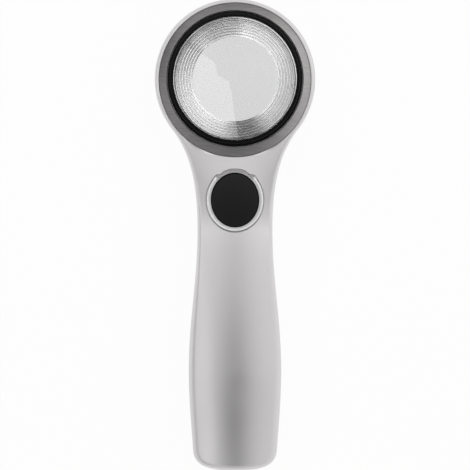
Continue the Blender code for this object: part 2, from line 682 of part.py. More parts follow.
# Baffle ring: a bright ribbed face behind the lens, with a tapered shroud that keeps the lamps out of view
rib_outer = LENS_RADIUS - RIBBED_MARGIN
rib_count = round((rib_outer - APERTURE_RADIUS) / RIDGE_PITCH)
rib_edges = np.linspace(APERTURE_RADIUS, rib_outer, 2 * rib_count + 1)
rib_base = np.linspace(BAFFLE_TOP - BAFFLE_DISH, BAFFLE_TOP - RIDGE_HEIGHT, 2 * rib_count + 1)
rib_lift = RIDGE_HEIGHT * (np.arange(2 * rib_count + 1) % 2)
shroud_top = BAFFLE_TOP - BAFFLE_DISH - APERTURE_LAND
under_share = (shroud_top - BAFFLE_UNDER) / (shroud_top - SHROUD_FOOT)
baffle_profile = [
    (LENS_RADIUS, BAFFLE_TOP),
    (LENS_RADIUS, BAFFLE_UNDER),
    (APERTURE_RADIUS + SHROUD_WALL + SHROUD_FLARE * under_share, BAFFLE_UNDER),
    (APERTURE_RADIUS + SHROUD_WALL + SHROUD_FLARE, SHROUD_FOOT),
    (APERTURE_RADIUS + SHROUD_FLARE, SHROUD_FOOT),
    (APERTURE_RADIUS, shroud_top),
    *zip(rib_edges, rib_base + rib_lift),
    (rib_outer, BAFFLE_TOP),
]
turned("baffle_ring", baffle_profile, BRIGHT_METAL, (0, HEAD_Y, 0))

# Lamp board: a ring of circuit board under the baffle, with its lamps facing the object being read
board_profile = [
    (BOARD_OUTER, LED_BOARD_FRONT),
    (BOARD_OUTER, LED_BOARD_BACK),
    (BOARD_INNER, LED_BOARD_BACK),
    (BOARD_INNER, LED_BOARD_FRONT),
]
turned("led_board", board_profile, BOARD_GREEN, (0, HEAD_Y, 0))
lamp_radius = (BOARD_INNER + BOARD_OUTER) / 2
lamp_top = LED_BOARD_BACK - GAP
for number in range(LED_COUNT):
    angle = 2 * math.pi * number / LED_COUNT
    x = lamp_radius * math.cos(angle)
    y = HEAD_Y + lamp_radius * math.sin(angle)
    half = LED_SIZE / 2
    low = (x - half, y - half, lamp_top - LED_HEIGHT)
    block(f"led_{number + 1}", low, (x + half, y + half, lamp_top), WHITE_PLASTIC)

# Rear window: a clear disc on the lip of the rear opening
window_profile = [
    (0, WINDOW_FRONT),
    (window_radius, WINDOW_FRONT),
    (window_radius, WINDOW_BACK),
    (0, WINDOW_BACK),
]
turned("rear_window", window_profile, CLEAR, (0, HEAD_Y, 0))

# Button rim: an oval trim ring that slopes up from the button to a rounded ridge
rim_foot = WELL_FLOOR + GAP
rim_edge = GAP + RIM_WIDTH
rim_profile = [
    (rim_edge, rim_foot),
    (rim_edge, RIM_HEIGHT - RIM_ROUND),
    (rim_edge - RIM_ROUND * 0.4, RIM_HEIGHT - RIM_ROUND * 0.2),
    (rim_edge - RIM_ROUND, RIM_HEIGHT),
    (rim_edge - RIM_ROUND * 1.6, RIM_HEIGHT - RIM_ROUND * 0.2),
    (GAP, RIM_HEIGHT - RIM_ROUND * 1.2),
    (GAP, rim_foot),
]
oval_sweep("button_rim", rim_profile, SILVER_PAINT)

# Button cap: a low dome held under the rim by its flange
flange_top = CAP_FOOT + BUTTON_FLANGE_HEIGHT
round_edge = BUTTON_CROWN / 2
cap_profile = [
    (BUTTON_FLANGE, CAP_FOOT),
    (BUTTON_FLANGE, flange_top),
    (0, flange_top),
    (0, BUTTON_EDGE_HEIGHT - round_edge),
    (-round_edge * 0.3, BUTTON_EDGE_HEIGHT - round_edge * 0.3),
    (-round_edge, BUTTON_EDGE_HEIGHT),
    (-BUTTON_HALF_WIDTH * 0.35, BUTTON_EDGE_HEIGHT + BUTTON_CROWN * 0.58),
    (-BUTTON_HALF_WIDTH * 0.65, BUTTON_EDGE_HEIGHT + BUTTON_CROWN * 0.88),
    (-BUTTON_HALF_WIDTH * 0.92, BUTTON_EDGE_HEIGHT + BUTTON_CROWN),
]
oval_sweep("button_cap", cap_profile, BLACK_PLASTIC, True)

# Button spring: lifts the cap off the board
spring_low = MAIN_BOARD_TOP + GAP + BUTTON_SPRING_WIRE
spring_high = CAP_FOOT - GAP - BUTTON_SPRING_WIRE
coil(
    "button_spring",
    (0, BUTTON_Y, spring_low),
    (0, BUTTON_Y, spring_high),
    BUTTON_SPRING_RADIUS,
    BUTTON_SPRING_RADIUS,
    BUTTON_SPRING_TURNS,
    BUTTON_SPRING_WIRE,
    STEEL,
)

# Main board, with the switch under the button and one chip beside it
main_board = block(
    "main_board",
    (-MAIN_BOARD_HALF_WIDTH, MAIN_BOARD_Y, MAIN_BOARD_HEIGHT),
    (MAIN_BOARD_HALF_WIDTH, MAIN_BOARD_Y + MAIN_BOARD_LENGTH, MAIN_BOARD_TOP),
    BOARD_GREEN,
)
switch_foot = MAIN_BOARD_TOP + GAP
switch_top = switch_foot + SWITCH_HEIGHT
switch_half = SWITCH_SIZE / 2
switch_body = block(
    "switch_body",
    (-switch_half, BUTTON_Y - switch_half, switch_foot),
    (switch_half, BUTTON_Y + switch_half, switch_top),
    BLACK_PLASTIC,
)
guide = PLUNGER_RADIUS + GAP
guide_low = switch_foot - OVERLAP
guide_high = switch_top + OVERLAP
cut(switch_body, plug("plunger_guide", guide, guide_low, guide_high, None, (0, BUTTON_Y), SMALL_STEPS))
plunger_foot = switch_foot + BUTTON_TRAVEL
plunger_top = CAP_FOOT - GAP
plug(
    "switch_plunger",
    PLUNGER_RADIUS,
    plunger_foot,
    plunger_top,
    WHITE_PLASTIC,
    (0, BUTTON_Y),
    SMALL_STEPS,
)
chip_y = MAIN_BOARD_Y + CHIP_SIZE
block(
    "driver_chip",
    (-CHIP_SIZE / 2, chip_y - CHIP_SIZE / 2, MAIN_BOARD_TOP + GAP),
    (CHIP_SIZE / 2, chip_y + CHIP_SIZE / 2, MAIN_BOARD_TOP + GAP + CHIP_HEIGHT),
    BLACK_PLASTIC,
)

# Battery tray: two open troughs that hold the cells from above, screwed to the front shell by a tab
cell_x = CELL_SPACING / 2
tray = laid("battery_tray", TRAY_RADIUS, TRAY_END_Y, TRAY_TOP_Y, -cell_x, CELL_HEIGHT, GREY_PLASTIC)
cut(tray, laid("tray_right", TRAY_RADIUS, TRAY_END_Y, TRAY_TOP_Y, cell_x, CELL_HEIGHT), "UNION")
tray_tab = block(
    "tray_tab",
    (-TRAY_TAB_HALF_WIDTH, TRAY_TOP_Y - TRAY_WALL / 2, tab_foot),
    (TRAY_TAB_HALF_WIDTH, TRAY_TOP_Y + TRAY_TAB_REACH, tab_top),
)
cut(tray, tray_tab, "UNION")
wire_hole = WIRE_RADIUS + GAP
wire_height = CELL_HEIGHT + 2 * WIRE_RADIUS
for side in (-1, 1):
    trough = CELL_RADIUS + GAP
    low_y = TRAY_END_Y + TRAY_WALL
    high_y = TRAY_TOP_Y - TRAY_WALL
    cut(tray, laid(f"trough_{side}", trough, low_y, high_y, side * cell_x, CELL_HEIGHT))
    low_y = TRAY_TOP_Y - TRAY_WALL - OVERLAP
    high_y = TRAY_TOP_Y + OVERLAP
    cut(tray, laid(f"wire_hole_{side}", wire_hole, low_y, high_y, side * cell_x, wire_height, None, 12))
cut(tray, block("tray_opening", (-far, TRAY_END_Y - far, 0), (far, TRAY_TOP_Y + far, TRAY_FOOT_HEIGHT)))
tab_low = tab_foot - OVERLAP
tab_high = tab_top + OVERLAP
cut(tray, plug("tab_hole", pilot, tab_low, tab_high, None, (0, tray_screw_y), SMALL_STEPS))

# Cells: side by side and head to tail
bevel = CELL_TIP_LENGTH / 3
cell_profile = [
    (0, CELL_FULL_LENGTH),
    (CELL_TIP_RADIUS, CELL_FULL_LENGTH),
    (CELL_TIP_RADIUS, CELL_LENGTH),
    (CELL_RADIUS - bevel, CELL_LENGTH),
    (CELL_RADIUS, CELL_LENGTH - bevel),
    (CELL_RADIUS, bevel),
    (CELL_RADIUS - bevel, 0),
    (0, 0),
]
contact_room = TRAY_WALL + GAP + CONTACT_THICKNESS
left_foot = TRAY_TOP_Y - contact_room - GAP - CELL_FULL_LENGTH
right_foot = TRAY_END_Y + contact_room + GAP + CELL_FULL_LENGTH
battery_left = turned("battery_left", cell_profile, CELL_SLEEVE, (-cell_x, left_foot, CELL_HEIGHT), 32)
battery_left.rotation_euler.x = -math.pi / 2
battery_right = turned("battery_right", cell_profile, CELL_SLEEVE, (cell_x, right_foot, CELL_HEIGHT), 32)
battery_right.rotation_euler.x = math.pi / 2

# Contacts: two plates and a spring at the top, and a bridge with a spring at the end
plate_low = CELL_HEIGHT - CONTACT_HALF
plate_high = CELL_HEIGHT + CONTACT_HALF
plate_y = TRAY_TOP_Y - contact_room
for name, x in (("contact_positive", -cell_x), ("contact_negative", cell_x)):
    low = (x - CONTACT_HALF, plate_y, plate_low)
    high = (x + CONTACT_HALF, plate_y + CONTACT_THICKNESS, plate_high)
    block(name, low, high, STEEL)
bridge_y = TRAY_END_Y + contact_room
block(
    "bridge_plate",
    (-cell_x - CONTACT_HALF, bridge_y - CONTACT_THICKNESS, plate_low),
    (cell_x + CONTACT_HALF, bridge_y, CELL_HEIGHT + CONTACT_HALF / 4),
    STEEL,
)
clear = GAP + SPRING_WIRE
spring_sizes = (SPRING_WIDE, SPRING_NARROW, SPRING_TURNS, SPRING_WIRE, STEEL)
coil(
    "contact_spring",
    (cell_x, plate_y - clear, CELL_HEIGHT),
    (cell_x, right_foot + clear, CELL_HEIGHT),
    *spring_sizes,
)
coil(
    "bridge_spring",
    (-cell_x, bridge_y + clear, CELL_HEIGHT),
    (-cell_x, left_foot - clear, CELL_HEIGHT),
    *spring_sizes,
)

# Screws: four through the rear shell and one through the tray
for name, (x, y) in SCREW_PLACES.items():
    screw_part(name, x, y, SCREW_RECESS, SCREW_LENGTH)
screw_part("tray_screw", 0, tray_screw_y, tab_foot - GAP - SCREW_HEAD_HEIGHT, TRAY_SCREW_LENGTH)

# Wires: from the board to the lamps and to the cell contacts
wire_start = MAIN_BOARD_HEIGHT - GAP - WIRE_RADIUS
lamp_wire_end = LED_BOARD_BACK - GAP
board_top_y = MAIN_BOARD_Y + MAIN_BOARD_LENGTH
for side, pole, sleeve in ((-1, "positive", RED_SLEEVE), (1, "negative", BLACK_SLEEVE)):
    x = side * 3 * WIRE_RADIUS
    lamp_y = HEAD_Y - lamp_radius
    start = (x, board_top_y - 6 * WIRE_RADIUS, wire_start)
    end = (x, lamp_y, lamp_wire_end)
    lead = bezier(start, (x, lamp_y, wire_start), (x, lamp_y, wire_start), end, 9)
    tube(f"led_wire_{pole}", [*lead, end], WIRE_RADIUS, sleeve)
    start = (side * 5 * WIRE_RADIUS, MAIN_BOARD_Y + 6 * WIRE_RADIUS, wire_start)
    bend = (side * 5 * WIRE_RADIUS, DOOR_Y, wire_start)
    turn_in = (side * cell_x, TRAY_TOP_Y + 12 * WIRE_RADIUS, wire_height)
    end = (side * cell_x, TRAY_TOP_Y - TRAY_WALL, wire_height)
    lead = bezier(start, bend, turn_in, end, 11)
    tube(f"battery_wire_{pole}", [*lead, end], WIRE_RADIUS, sleeve)
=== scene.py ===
import math

import bmesh
import bpy
import numpy as np
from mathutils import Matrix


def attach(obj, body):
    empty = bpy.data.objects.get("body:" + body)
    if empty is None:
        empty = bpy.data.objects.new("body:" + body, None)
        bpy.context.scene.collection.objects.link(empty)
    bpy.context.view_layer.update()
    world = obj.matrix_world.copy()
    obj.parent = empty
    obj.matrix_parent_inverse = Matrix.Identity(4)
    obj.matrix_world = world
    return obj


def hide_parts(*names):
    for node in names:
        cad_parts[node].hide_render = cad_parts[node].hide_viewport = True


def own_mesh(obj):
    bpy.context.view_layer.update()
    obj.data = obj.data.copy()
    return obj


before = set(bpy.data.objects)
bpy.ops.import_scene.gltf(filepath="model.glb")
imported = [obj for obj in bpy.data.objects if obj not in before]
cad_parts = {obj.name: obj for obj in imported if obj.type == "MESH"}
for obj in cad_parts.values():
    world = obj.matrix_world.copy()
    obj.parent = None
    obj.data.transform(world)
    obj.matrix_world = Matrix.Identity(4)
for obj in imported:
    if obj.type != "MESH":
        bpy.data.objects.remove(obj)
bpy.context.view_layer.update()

# Front shell: the whole front of the handle and head, one ABS moulding about 1.8 mm thick, sprayed with
# satin silver paint. It has a round seat for the bezel, an oval pocket for the button and a butt seam to
# the rear shell.
GAP = 0.0003
WALL = 0.0018
HEAD_Y = 0.05425
END_Y = -0.08225
NECK_Y = 0.00175
BELLY_Y = -0.04725
CORNER_Y = -0.07525
HEAD_RADIUS = 0.0280
NECK_HALF_WIDTH = 0.0131
BELLY_HALF_WIDTH = 0.0162
CORNER_HALF_WIDTH = 0.0147
FLARE_ANGLE = math.radians(38)
CORNER_LEAN = math.radians(4)
FLARE_PULL = 0.0095
NECK_PULL = 0.0180
HANDLE_PULL = 0.0180
END_PULL = 0.0055
END_FLAT_PULL = 0.0100
SEAM_HEIGHT = 0.0080
SEAM_BAND = 0.0008
HEAD_HEIGHT = 0.0150
HEAD_FLAT_Y = 0.03605
FRONT_HEIGHTS = [(END_Y, 0.0164), (BELLY_Y, 0.0178), (HEAD_FLAT_Y, HEAD_HEIGHT)]
FRONT_DROPS = [(END_Y, 0.0050), (BELLY_Y, 0.0050), (NECK_Y, 0.0022), (HEAD_FLAT_Y, 0.0)]
FRONT_HALF_WIDTHS = [
    (END_Y, CORNER_HALF_WIDTH),
    (BELLY_Y, BELLY_HALF_WIDTH),
    (NECK_Y, NECK_HALF_WIDTH),
    (HEAD_FLAT_Y, 0.0220),
]
FRONT_EDGES = [(END_Y, 0.0024), (BELLY_Y, 0.0026), (NECK_Y, 0.0014), (HEAD_Y, 0.0009)]
FRONT_SQUARENESS = 0.5
ARC_POINTS = 120
FLARE_POINTS = 70
HANDLE_POINTS = 80
END_POINTS = 50
EDGE_ROWS = 14
HEAD_ROWS = 5
FIELD_ROWS = 12
GRIP_ROWS = 18
LINE_POINTS = 41
HEAD_LINE_NEAR = 0.0263
GRIP_LINE_NEAR = -0.0040
SPINE_END_Y = END_Y + 0.0140
SPINE_TOP_Y = GRIP_LINE_NEAR - 0.0060
SEAT_RADIUS = 0.02645
SEAT_ROUND = 0.00015
SEAT_ROUND_ROWS = 5
SEAT_DRAW = 0.00030
SEAT_HEIGHT = 0.0134
SEAT_BORE = 0.0230
SEAT_LIP = 0.0010
BUTTON_Y = 0.01225
BUTTON_HALF_WIDTH = 0.0081
BUTTON_HALF_LENGTH = 0.0092
POCKET_GAP = 0.0003
RIM_REACHES = [(0, 0.00145), (20, 0.00150), (31, 0.00112), (41, 0.00195), (52, 0.00180), (180, 0.00180)]
POCKET_FLOOR = 0.0137
POCKET_HOLE_OFFSET = 0.0013
POCKET_LIP = 0.0010
HEAD_WALL_SHARE = 0.3
BUTTON_WALL_SHARE = 0.5
WELD = 0.000002
SHARP = math.radians(38)


def linear(hex_colour):
    """An sRGB hex colour in linear values: c/12.92 near black, ((c + .055) / 1.055)^2.4 above that."""
    value = np.array([int(hex_colour[i : i + 2], 16) for i in (1, 3, 5)]) / 255
    bright = ((value + 0.055) / 1.055) ** 2.4
    return (*np.where(value > 0.04045, bright, value / 12.92), 1.0)


def add(tree, kind, settings=None, links=None):
    """Adds a node, sets its properties and inputs by name or number, and links sockets to its inputs.

    The stops of a colour ramp are grey tones at places from 0 to 1.
    """
    made = tree.nodes.new(kind)
    for key, value in (settings or {}).items():
        if key == "stops":
            elements = made.color_ramp.elements
            elements.remove(elements[1])
            elements[0].position = value[0][0]
            for number, (spot, tone) in enumerate(value):
                stop = elements[0] if number == 0 else elements.new(spot)
                stop.color = (tone, tone, tone, 1)
        elif isinstance(key, str) and hasattr(made, key):
            setattr(made, key, value)
        else:
            made.inputs[key].default_value = value
    for key, socket in (links or {}).items():
        tree.links.new(socket, made.inputs[key])
    return made


def finish_of(name, settings):
    """A material with these shader values, with its node tree, its shader and its Object coordinates."""
    made = bpy.data.materials.new(name)
    made.use_nodes = True
    tree = made.node_tree
    shader = tree.nodes["Principled BSDF"]
    for socket, value in settings.items():
        shader.inputs[socket].default_value = value
    place = add(tree, "ShaderNodeTexCoord").outputs["Object"]
    return made, tree, shader, place


def steer(tree, pattern, tones=None, roughness=None, relief=None):
    """Lets a pattern from 0 to 1 set a finish's colour between two tones, its roughness between two values,
    and its relief as a bump of a strength and a depth.
    """
    shader = tree.nodes["Principled BSDF"]
    if tones:
        colours = {6: linear(tones[0]), 7: linear(tones[1])}
        tone = add(tree, "ShaderNodeMix", {"data_type": "RGBA", **colours}, {0: pattern})
        tree.links.new(tone.outputs[2], shader.inputs["Base Color"])
    if roughness:
        ends = {"To Min": roughness[0], "To Max": roughness[1]}
        rough = add(tree, "ShaderNodeMapRange", ends, {"Value": pattern})
        tree.links.new(rough.outputs[0], shader.inputs["Roughness"])
    if relief:
        depth = {"Strength": relief[0], "Distance": relief[1]}
        bump = add(tree, "ShaderNodeBump", depth, {"Height": pattern})
        tree.links.new(bump.outputs[0], shader.inputs["Normal"])


def eased(at, stations):
    """A value between (place, value) stations: from one to the next it follows 3t^2 - 2t^3."""
    places, values = np.array(sorted(stations)).T
    at = np.clip(at, places[0], places[-1])
    index = np.clip(np.searchsorted(places, at) - 1, 0, len(places) - 2)
    share = (at - places[index]) / (places[index + 1] - places[index])
    return values[index] + (values[index + 1] - values[index]) * share * share * (3 - 2 * share)


def bezier(start, first, second, end, count):
    """Points of a cubic Bezier curve, its last point left out."""
    share = np.linspace(0, 1, count, endpoint=False)[:, None]
    keep = 1 - share
    ends = keep**3 * np.array(start) + share**3 * np.array(end)
    return ends + 3 * keep**2 * share * np.array(first) + 3 * keep * share**2 * np.array(second)


def outline():
    """Closed outline seen from the front, clockwise from the head's top, and its inward normals.

    The right half is an arc of the head's circle, then four Bezier curves by the neck and belly to the end.
    """
    turn = np.linspace(math.pi / 2, -FLARE_ANGLE, ARC_POINTS, endpoint=False)
    head = np.stack([HEAD_RADIUS * np.cos(turn), HEAD_Y + HEAD_RADIUS * np.sin(turn)], 1)
    head[0, 0] = 0
    leave = np.array([HEAD_RADIUS * math.cos(FLARE_ANGLE), HEAD_Y - HEAD_RADIUS * math.sin(FLARE_ANGLE)])
    along = np.array([-math.sin(FLARE_ANGLE), -math.cos(FLARE_ANGLE)])
    neck = np.array([NECK_HALF_WIDTH, NECK_Y])
    belly = np.array([BELLY_HALF_WIDTH, BELLY_Y])
    corner = np.array([CORNER_HALF_WIDTH, CORNER_Y])
    lean = np.array([-math.sin(CORNER_LEAN), -math.cos(CORNER_LEAN)])
    end = np.array([0.0, END_Y])
    down = np.array([0.0, -1.0])
    right = np.concatenate([
        head,
        bezier(leave, leave + FLARE_PULL * along, neck - NECK_PULL * down, neck, FLARE_POINTS),
        bezier(neck, neck + HANDLE_PULL * down, belly - HANDLE_PULL * down, belly, HANDLE_POINTS),
        bezier(belly, belly + END_FLAT_PULL * down, corner - END_FLAT_PULL * lean, corner, END_POINTS),
        bezier(corner, corner + END_PULL * lean, end + (END_FLAT_PULL, 0), end, END_POINTS),
        end[None],
    ])
    points = np.concatenate([right, right[-2:0:-1] * (-1, 1)])
    ahead = np.roll(points, -1, 0) - np.roll(points, 1, 0)
    ahead /= np.linalg.norm(ahead, axis=1, keepdims=True)
    return points, np.stack([ahead[:, 1], -ahead[:, 0]], 1)


def crown(x, y):
    """Height of the front inside its edge: a spine height less a drop that grows with the square of x."""
    return eased(y, FRONT_HEIGHTS) - eased(y, FRONT_DROPS) * (x / eased(y, FRONT_HALF_WIDTHS)) ** 2


def grid(points, wrap=False):
    """Corners and quads of a grid of points[row, column]; wrap joins the last column to the first."""
    rows, columns = points.shape[:2]
    index = np.arange(rows * columns).reshape(rows, columns)
    if wrap:
        index = np.concatenate([index, index[:, :1]], 1)
    quads = np.stack([index[:-1, :-1], index[1:, :-1], index[1:, 1:], index[:-1, 1:]], -1)
    return points.reshape(-1, 3), quads.reshape(-1, 4)


def welded(name, patches, finishes=()):
    """One mesh of several grids, its doubles merged and its faces turned outwards.

    A grid is (corners, faces), or has the number of its finish as well, which is otherwise 0.
    """
    starts = np.cumsum([0] + [len(patch[0]) for patch in patches])
    faces = [patch[1] + start for patch, start in zip(patches, starts)]
    numbers = [np.full(len(patch[1]), patch[2] if len(patch) > 2 else 0, np.int32) for patch in patches]
    mesh = bpy.data.meshes.new(name)
    mesh.from_pydata(np.concatenate([patch[0] for patch in patches]), [], np.concatenate(faces).tolist())
    mesh.polygons.foreach_set("material_index", np.concatenate(numbers))
    for finish in finishes:
        mesh.materials.append(finish)
    form = bmesh.new()
    form.from_mesh(mesh)
    bmesh.ops.remove_doubles(form, verts=form.verts, dist=WELD)
    bmesh.ops.recalc_face_normals(form, faces=form.faces)
    form.to_mesh(mesh)
    form.free()
    return mesh


def piece(name, patches, finishes, body, nodes, sharp=SHARP):
    """One object of several grids, shaded smooth, on its body and in place of its nodes."""
    mesh = welded(name, patches, finishes)
    mesh.shade_smooth()
    mesh.set_sharp_from_angle(angle=sharp)
    made = bpy.data.objects.new(name, mesh)
    bpy.context.scene.collection.objects.link(made)
    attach(made, body)
    if nodes:
        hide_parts(*nodes)
    return made


def fanned(inner, outer, rows, height):
    """Rows of points from one plan curve to another, lifted to a height that is a function of x and y."""
    share = np.linspace(0, 1, rows)[:, None, None]
    plan = inner + (outer - inner) * share
    return np.concatenate([plan, height(plan[..., 0], plan[..., 1])[..., None]], -1)


def level(plan, height):
    """A plan curve as one row of points at a height."""
    return np.concatenate([plan, np.broadcast_to(height, len(plan))[:, None]], 1)[None]


def oval(around, offset):
    """Points of the button's oval, widened by an offset, in the direction of each plan point."""
    x = around[:, 0] / BUTTON_HALF_WIDTH
    y = (around[:, 1] - BUTTON_Y) / BUTTON_HALF_LENGTH
    size = np.hypot(x, y)
    wide = BUTTON_HALF_WIDTH + offset
    high = BUTTON_HALF_LENGTH + offset
    return np.stack([wide * x / size, BUTTON_Y + high * y / size], 1)


def rim_reach(from_top):
    """How far the rim reaches out from the button's oval, eased between stations in degrees from its top."""
    return eased(np.degrees(from_top), RIM_REACHES)


def ring(around, radius, draw=0.0):
    """Points on a circle about the lens axis, in the direction of each plan point.

    A draw pulls the circle towards the handle: not at the top, once at the sides and twice at the bottom.
    """
    out = around - (0, HEAD_Y)
    out = out / np.linalg.norm(out, axis=1, keepdims=True)
    pulled = np.stack([0 * out[:, 1], -draw * (1 - out[:, 1])], 1)
    return (0, HEAD_Y) + radius * out + pulled


edge, inward = outline()
turns = np.linspace(0, math.pi / 2, EDGE_ROWS)
seam_z = SEAM_HEIGHT + GAP / 2
band_z = seam_z + SEAM_BAND
edge_width = eased(edge[:, 1], FRONT_EDGES)
front_rows = [level(edge, seam_z)]
for turn in turns:
    plan = edge + inward * (edge_width * (1 - math.cos(turn)))[:, None]
    lift = math.sin(turn) ** FRONT_SQUARENESS
    front_rows.append(level(plan, band_z + (crown(*plan.T) - band_z) * lift))
front_field = front_rows[-1][0, :, :2]


def between(points, low, high):
    """The points of a clockwise loop that lie between two heights in plan, on the right and on the left."""
    inside = (points[:, 1] < high) & (points[:, 1] > low)
    return points[inside & (points[:, 0] > 0)], points[inside & (points[:, 0] < 0)]


def line_across(points, y):
    """A line at y across a loop, from its right side to its left, without its two ends, and those ends."""
    half = len(points) // 2
    right = np.interp(-y, -points[: half + 1, 1], points[: half + 1, 0])
    x = np.linspace(right, -right, LINE_POINTS)
    line = np.stack([x, np.full(LINE_POINTS, y)], 1)
    return line[1:-1], line[:1], line[-1:]


# Both lines start on a vertex of the edge, the nearest one to where they are wanted, so that no gap opens.
HEAD_LINE_Y = front_field[np.abs(front_field[:, 1] - HEAD_LINE_NEAR).argmin(), 1]
GRIP_LINE_Y = front_field[np.abs(front_field[:, 1] - GRIP_LINE_NEAR).argmin(), 1]
head_line, head_right, head_left = line_across(front_field, HEAD_LINE_Y)
grip_line, grip_right, grip_left = line_across(front_field, GRIP_LINE_Y)
upper = front_field[front_field[:, 1] > HEAD_LINE_Y]
half_count = np.argmax(upper[:, 0] < 0)
around_head = np.concatenate([upper[:half_count], head_right, head_line, head_left, upper[half_count:]])
side_right, side_left = between(front_field, GRIP_LINE_Y, HEAD_LINE_Y)
around_button = np.concatenate([
    head_right, side_right, grip_right, grip_line, grip_left, side_left, head_left, head_line[::-1],
])
lower = front_field[front_field[:, 1] < GRIP_LINE_Y]
around_grip = np.concatenate([grip_right, lower, grip_left, grip_line[::-1]])

seat_edge = ring(around_head, SEAT_RADIUS, SEAT_DRAW)
bore_edge = ring(around_head, SEAT_BORE)
head_rows = [
    level(bore_edge, SEAT_HEIGHT - SEAT_LIP),
    level(bore_edge, SEAT_HEIGHT),
    level(seat_edge, SEAT_HEIGHT),
]
for turn in np.linspace(0, math.pi / 2, SEAT_ROUND_ROWS)[:-1]:
    round_edge = ring(around_head, SEAT_RADIUS + SEAT_ROUND * (1 - math.cos(turn)), SEAT_DRAW)
    head_rows.append(level(round_edge, HEAD_HEIGHT - SEAT_ROUND * (1 - math.sin(turn))))
round_edge = ring(around_head, SEAT_RADIUS + SEAT_ROUND, SEAT_DRAW)
head_rows.append(fanned(round_edge, around_head, HEAD_ROWS, crown))
from_top = np.arctan2(
    np.abs(around_button[:, 0]) / BUTTON_HALF_WIDTH, (around_button[:, 1] - BUTTON_Y) / BUTTON_HALF_LENGTH
)
pocket_edge = oval(around_button, rim_reach(from_top) + POCKET_GAP)
hole_edge = oval(around_button, POCKET_HOLE_OFFSET)
button_rows = [
    level(hole_edge, POCKET_FLOOR - POCKET_LIP),
    level(hole_edge, POCKET_FLOOR),
    level(pocket_edge, POCKET_FLOOR),
    fanned(pocket_edge, around_button, FIELD_ROWS, crown),
]
feet = np.stack([0 * around_grip[:, 1], np.clip(around_grip[:, 1], SPINE_END_Y, SPINE_TOP_Y)], 1)
grip_rows = [fanned(feet, around_grip, GRIP_ROWS, crown)]

# The paint is a satin lacquer full of fine aluminium flake: a soft metal sheen with a grain that just shows.
# The flake is about 0.05 mm and is drawn at 0.3 mm so that it shows in the render.
FLAKE = 0.0003
PAINT_CLOUD = 0.012
silver_paint, tree, shader, place = finish_of(
    "satin_silver_paint_on_ABS", {"Metallic": 0.85, "Roughness": 0.36}
)
flake = add(tree, "ShaderNodeTexNoise", {"Scale": 1 / FLAKE, "Detail": 2.0}, {"Vector": place})
cloud = add(tree, "ShaderNodeTexNoise", {"Scale": 1 / PAINT_CLOUD, "Detail": 1.0}, {"Vector": place})
steer(tree, flake.outputs["Fac"], tones=("#D3D1D2", "#DDDBDC"), relief=(0.05, 0.00005))
steer(tree, cloud.outputs["Fac"], roughness=(0.32, 0.40))

front_shell = piece(
    "silver_front_shell",
    [
        grid(np.concatenate(front_rows), True),
        grid(np.concatenate(head_rows), True),
        grid(np.concatenate(button_rows), True),
        grid(np.concatenate(grip_rows), True),
    ],
    [silver_paint], "case", ["front_shell"],
)


def walled(obj, shares):
    """Gives a sheet its wall on the inside, with the share of the full thickness at each vertex."""
    group = obj.vertex_groups.new(name="wall")
    for value in np.unique(shares):
        group.add(np.flatnonzero(shares == value).tolist(), float(value), "REPLACE")
    wall = obj.modifiers.new("wall", "SOLIDIFY")
    wall.thickness = WALL
    wall.offset = -1
    wall.vertex_group = group.name


points = np.empty(len(front_shell.data.vertices) * 3)
front_shell.data.vertices.foreach_get("co", points)
wall_stations = [(GRIP_LINE_Y, 1.0), (BUTTON_Y, BUTTON_WALL_SHARE), (HEAD_LINE_Y, HEAD_WALL_SHARE)]
walled(front_shell, np.round(eased(points[1::3], wall_stations), 2))

# Bezel: a trim ring turned from aluminium, linished across and anodised dark grey. Its face rises towards
# the lens, and it is glued into the round seat of the front shell.
ROUND_STEPS = 192
BEZEL_OUTER = 0.0264
BEZEL_INNER = 0.0237
BEZEL_FOOT = SEAT_HEIGHT + GAP
BEZEL_INNER_HEIGHT = 0.0164
BEZEL_ROUND = 0.00018
LINISH_LENGTH = 0.0050
LINISH_WIDTH = 0.00035
LINISH_ANGLE = math.radians(62)
CORNER_CUT_LIMIT = 0.45


def softened(profile, radius, steps=5):
    """A closed profile, each corner a parabola between points a radius before and after it."""
    corner = np.array(profile, float)
    before = np.roll(corner, 1, 0) - corner
    after = np.roll(corner, -1, 0) - corner
    cut_before = np.minimum(radius / np.linalg.norm(before, axis=1), CORNER_CUT_LIMIT)
    cut_after = np.minimum(radius / np.linalg.norm(after, axis=1), CORNER_CUT_LIMIT)
    start = corner + before * cut_before[:, None]
    end = corner + after * cut_after[:, None]
    share = np.linspace(0, 1, steps)[None, :, None]
    arcs = (1 - share) ** 2 * start[:, None] + share**2 * end[:, None]
    return (arcs + 2 * share * (1 - share) * corner[:, None]).reshape(-1, 2)


def turned(profile, centre, steps=ROUND_STEPS, lying=False):
    """A closed profile of (radius, height) carried round a circle, about an upright axis or one along Y."""
    radius, height = np.vstack([profile, profile[:1]]).T[:, :, None]
    turn = np.linspace(0, 2 * math.pi, steps, endpoint=False)
    x = centre[0] + radius * np.cos(turn)
    if lying:
        points = [x, centre[1] + height + 0 * x, centre[2] + radius * np.sin(turn)]
    else:
        points = [x, centre[1] + radius * np.sin(turn), centre[2] + height + 0 * x]
    return grid(np.stack(points, -1), True)


